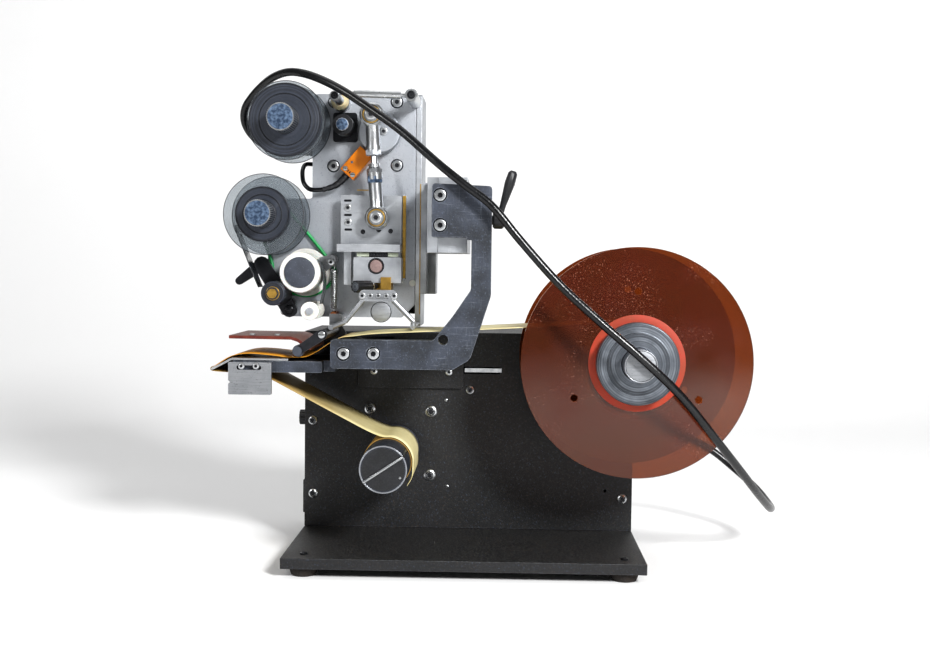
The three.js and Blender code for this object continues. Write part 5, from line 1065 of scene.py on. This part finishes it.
# Crank, connecting rod and press. A nut is (x, z, radius, length, look), and the nuts stand along the rod.
crank = {"axis": (-80.4, 374.5), "pin": (-85.71, 387.45), "low": (-80.6, 298.4)}
rod = {"y": -48, "way": (0.0517, 0, -0.9987), "nuts": [
    (-84.1, 357.5, 7.4, 5.0, "blasted"), (-83.4, 345.4, 5.2, 3.8, "brushedSteel"),
    (-83.2, 341.2, 6.9, 5.4, "brushedSteel"), (-82.9, 334.9, 7.2, 6.2, "spangle")]}
refined("crank_disc", "blasted", "crank", edge=0.5, spin=crank["axis"], cuts=3)
screwHead("crank_screw", (-76.8, -36.0, 374.8), 3.6, "crank", tall=1.1)
for node, edge, angle in (("upper_rod_end", 0.35, 40), ("lower_rod_end", 0.35, 40), ("rod_coupler", 0.3, 30)):
    refined(node, "zinc", "rod", edge=edge, angle=angle)
for k, (x, z, radius, long, look) in enumerate(rod["nuts"]):
    hexNut(f"rod_nut_{k}", (x, rod["y"], z), rod["way"], radius, long, look, "rod", turn=0.3 * k)
for name, place in (("upper", crank["pin"]), ("lower", crank["low"])):
    flatRing(f"{name}_race", place, (6.4, 7.6), (-54.4, -53.6), "brass", "rod", eased=(0.2, 0.2, 0), sides=56)
    flatRing(f"{name}_race_gap", place, (7.7, 8.3), (-54.15, -53.8), "blackSteel", "rod", sides=56)
    screwHead(f"{name}_eye_screw", (place[0], -58.6, place[1]), 4.8, "rod", tall=0.9)
for node, look, edge in (("press_slide", "milled", 0.4), ("heater_block", "milled", 0.35),
                         ("type_holder", "brass", 0.35)):
    refined(node, look, "press", edge=edge)
slideSockets = {"y": -37.0, "radius": 3.3, "tall": 1.0, "places": [(-107.6, 307.6), (-107.2, 294.8)]}
slideSlots = {"ys": (-36.25, -35.9), "reach": (3.4, 1.0),
              "places": [(-107.6, 313.8), (-107.4, 301.2), (-107.0, 288.4)]}
slideBores = {"y": -36.4, "radius": 2.1, "tall": 0.5,
              "places": [(-94.1, 286.6), (-80.2, 288.3), (-69.6, 287.4)]}
screwRow("slide_socket", slideSockets, "press")
reachX, reachZ = slideSlots["reach"]
for k, (x, z) in enumerate(slideSlots["places"]):
    block(f"slide_slot_{k}", (x - reachX, x + reachX), slideSlots["ys"], (z - reachZ, z + reachZ),
          "blackScrew", "press", corner=0.9, edge=0.1)
screwRow("slide_bore", slideBores, "press", look="blackSteel")
block("press_gib", (-59.2, -56.3), (-34.6, -34.1), (246, 318.6), "brass", "head", corner=0.4, edge=0.15)
block("slide_shim", (-99.5, -89.0), (-36.5, -36.0), (322.6, 323.6), "brass", "head", corner=0.3, edge=0.1)

# Heater: its cartridge, and the flange of mica, a black bar and ribs above it
heaterAxis = (-80.3, 256.6)
flatDisc("heater_cartridge", heaterAxis, 5.7, (-54.6, -50), "heaterEnd", "press", eased=0.4, sides=48)
flatRing("heater_ring", heaterAxis, (6.1, 7.1), (-56.25, -55.8), "blackSteel", "press", eased=(0.2, 0.2, 0),
         sides=56)
flange = {"zs": (264.7, 268.2), "mica": [(-97.2, -86.5), (-70.2, -61.2)], "bar": (-86.2, -70.5), "back": -38}
for k, xs in enumerate(flange["mica"]):
    block(f"flange_mica_{k}", xs, (-55.4, flange["back"]), flange["zs"], "spacer", "press", corner=0.5)
block("flange_black_bar", flange["bar"], (-54.8, flange["back"]), flange["zs"], "blackSteel", "press",
      corner=0.3)
ribs = {"left": -85, "right": -71.7, "count": 6, "half": 0.9}
for k in range(ribs["count"]):
    x = ribs["left"] + (ribs["right"] - ribs["left"]) * k / (ribs["count"] - 1)
    block(f"flange_rib_{k}", (x - ribs["half"], x + ribs["half"]), (-56.1, -55.2), (265.0, 268.3),
          "blackSteel", "press", corner=0.3, edge=0.15)

# Thumb screw: moulded grip, steel collar and a grey face
thumb = {"start": Vector((-79.85, -53.9, 238.85)), "way": Vector((-0.627, -0.779, 0)).normalized(),
         "face": 26.0, "collar": 5.6}
refined("thumb_screw", "mouldedPlastic", "thumb", edge=0.3, axis=(thumb["start"], thumb["way"]), cuts=1)
turnedPiece("thumb_face", [(0, 0), (3.9, 0), (3.9, 0.35, 0.2), (0, 0.5)],
            thumb["start"] + thumb["way"] * thumb["face"], thumb["way"], "turnedGrey", "thumb", sides=40)
turnedPiece("thumb_collar", [(2.3, 0), (3.6, 0.2, 0.2), (3.6, 2.2, 0.2), (2.3, 2.4)],
            thumb["start"] + thumb["way"] * thumb["collar"], thumb["way"], "zinc", "thumb", sides=40,
            closed=True)

# Position sensor. Its screws, dashes and lamp are placed along and across its face.
sensor = {"x": -100.4, "z": 347.1, "tilt": math.radians(49.2), "screws": [(-10.2, 4.3), (-10.2, -4.3)],
          "dashes": [(1.0, (-11.3, -9.0)), (-1.0, (-11.3, -9.0))], "lamp": (-2.2, 3.4)}
refined("position_sensor", "sensorPlastic", "head", edge=0.5)


def onSensor(along, across):
    sine, cosine = math.sin(sensor["tilt"]), math.cos(sensor["tilt"])
    return (sensor["x"] + along * cosine - across * sine, sensor["z"] + along * sine + across * cosine)


sensorScrews = {"y": -34.9, "radius": 2.3, "tall": 1.1, "dome": 0.3,
                "places": [onSensor(*place) for place in sensor["screws"]]}
screwRow("sensor_screw", sensorScrews, "head", kind="slot")
for k, (across, ends) in enumerate(sensor["dashes"]):
    dash = [onSensor(end, across) for end in ends]
    wire(f"sensor_dash_{k}", [(x, -34.05, z) for x, z in dash], 0.5, "blackScrew", "head", sides=8)
flatDisc("sensor_lamp", onSensor(*sensor["lamp"]), 1.1, (-34.4, -33.9), "spangle", "head", eased=0.3,
         sides=24)

# Spent foil from the pinch to the lower spool, and the film over the white wheel
foil = {"thick": 0.3, "ys": (-58, -34), "path": [
    (-182.6, 237), (-185.6, 244), (-189, 252), (-193, 262), (-197.4, 273), (-201.5, 283), (-203.4, 291)]}
film = {"thick": 0.3, "ys": (-56, -36), "path": [
    (-131.6, 262), (-127.5, 254), (-126.2, 243), (-127.2, 232), (-129.2, 223)]}
sheetStrip("spent_foil_strip", foil["path"], 6, foil["thick"], foil["ys"], "codingFoil", "head")
sheetStrip("film_strip", film["path"], 6, film["thick"], film["ys"], "smokedFilm", "head")
print("press, sensor and foil done")


# Stage: a pale floor that runs up behind, a white world and soft lamps. A lamp's size is in metres and its
# power in watts.
stage = {"floor": "#f2f2f2", "half": 2600, "behind": 1500, "bend": 600, "high": 2400, "steps": 10,
         "air": "#ffffff", "airStrength": 0.2, "transform": "Standard", "look": "Medium High Contrast"}
lampFacts = {
    "key_lamp": {"place": (1050, -1750, 1150), "target": (0, -20, 150), "size": (0.42, 0.42), "power": 66},
    "fill_lamp": {"place": (-1500, -1500, 1000), "target": (0, -20, 150), "size": (0.6, 0.6), "power": 13},
    "top_lamp": {"place": (-100, 200, 1900), "target": (0, 0, 100), "size": (1.6, 1.2), "power": 7}}


def makeFloor(facts):
    bend, start = facts["bend"], facts["behind"] - facts["bend"]
    angles = [math.pi / 2 * k / facts["steps"] for k in range(1, facts["steps"] + 1)]
    profile = [(-facts["half"], 0), (start, 0)]
    profile += [(start + bend * math.sin(a), bend - bend * math.cos(a)) for a in angles]
    profile.append((facts["behind"], facts["high"]))
    points = [(x, y, z) for y, z in profile for x in (-facts["half"], facts["half"])]
    faces = [(2 * k, 2 * k + 1, 2 * k + 3, 2 * k + 2) for k in range(len(profile) - 1)]
    mesh = meshOf("studio_floor", points, faces)
    floor = bpy.data.objects.new("studio_floor", mesh)
    bpy.context.scene.collection.objects.link(floor)
    mesh.materials.append(makeMaterial("white_studio_paper", facts["floor"], 0.75, [
        {"size": 900, "detail": 2.0, "colour": "#f6f6f6", "share": 0.6}]))
    mesh.shade_smooth()
    return floor


def softLamp(name, facts):
    data = bpy.data.lights.new(name, "AREA")
    data.shape = "RECTANGLE"
    data.size, data.size_y = facts["size"]
    data.energy = facts["power"]
    lamp = bpy.data.objects.new(name, data)
    bpy.context.scene.collection.objects.link(lamp)
    lamp.location = at(*facts["place"])
    lamp.rotation_euler = (at(*facts["target"]) - at(*facts["place"])).to_track_quat("-Z", "Y").to_euler()
    return lamp


floor = makeFloor(stage)
lamps = [softLamp(name, facts) for name, facts in lampFacts.items()]
bpy.context.scene.view_settings.view_transform = stage["transform"]
bpy.context.scene.view_settings.look = stage["look"]
world = bpy.data.worlds.new("white_room")
bpy.context.scene.world = world
world.use_nodes = True
world.node_tree.nodes.clear()
air = addNode(world.node_tree, "ShaderNodeBackground", {0: linear(stage["air"]), 1: stage["airStrength"]})
addNode(world.node_tree, "ShaderNodeOutputWorld", {0: air})
print("stage lit")
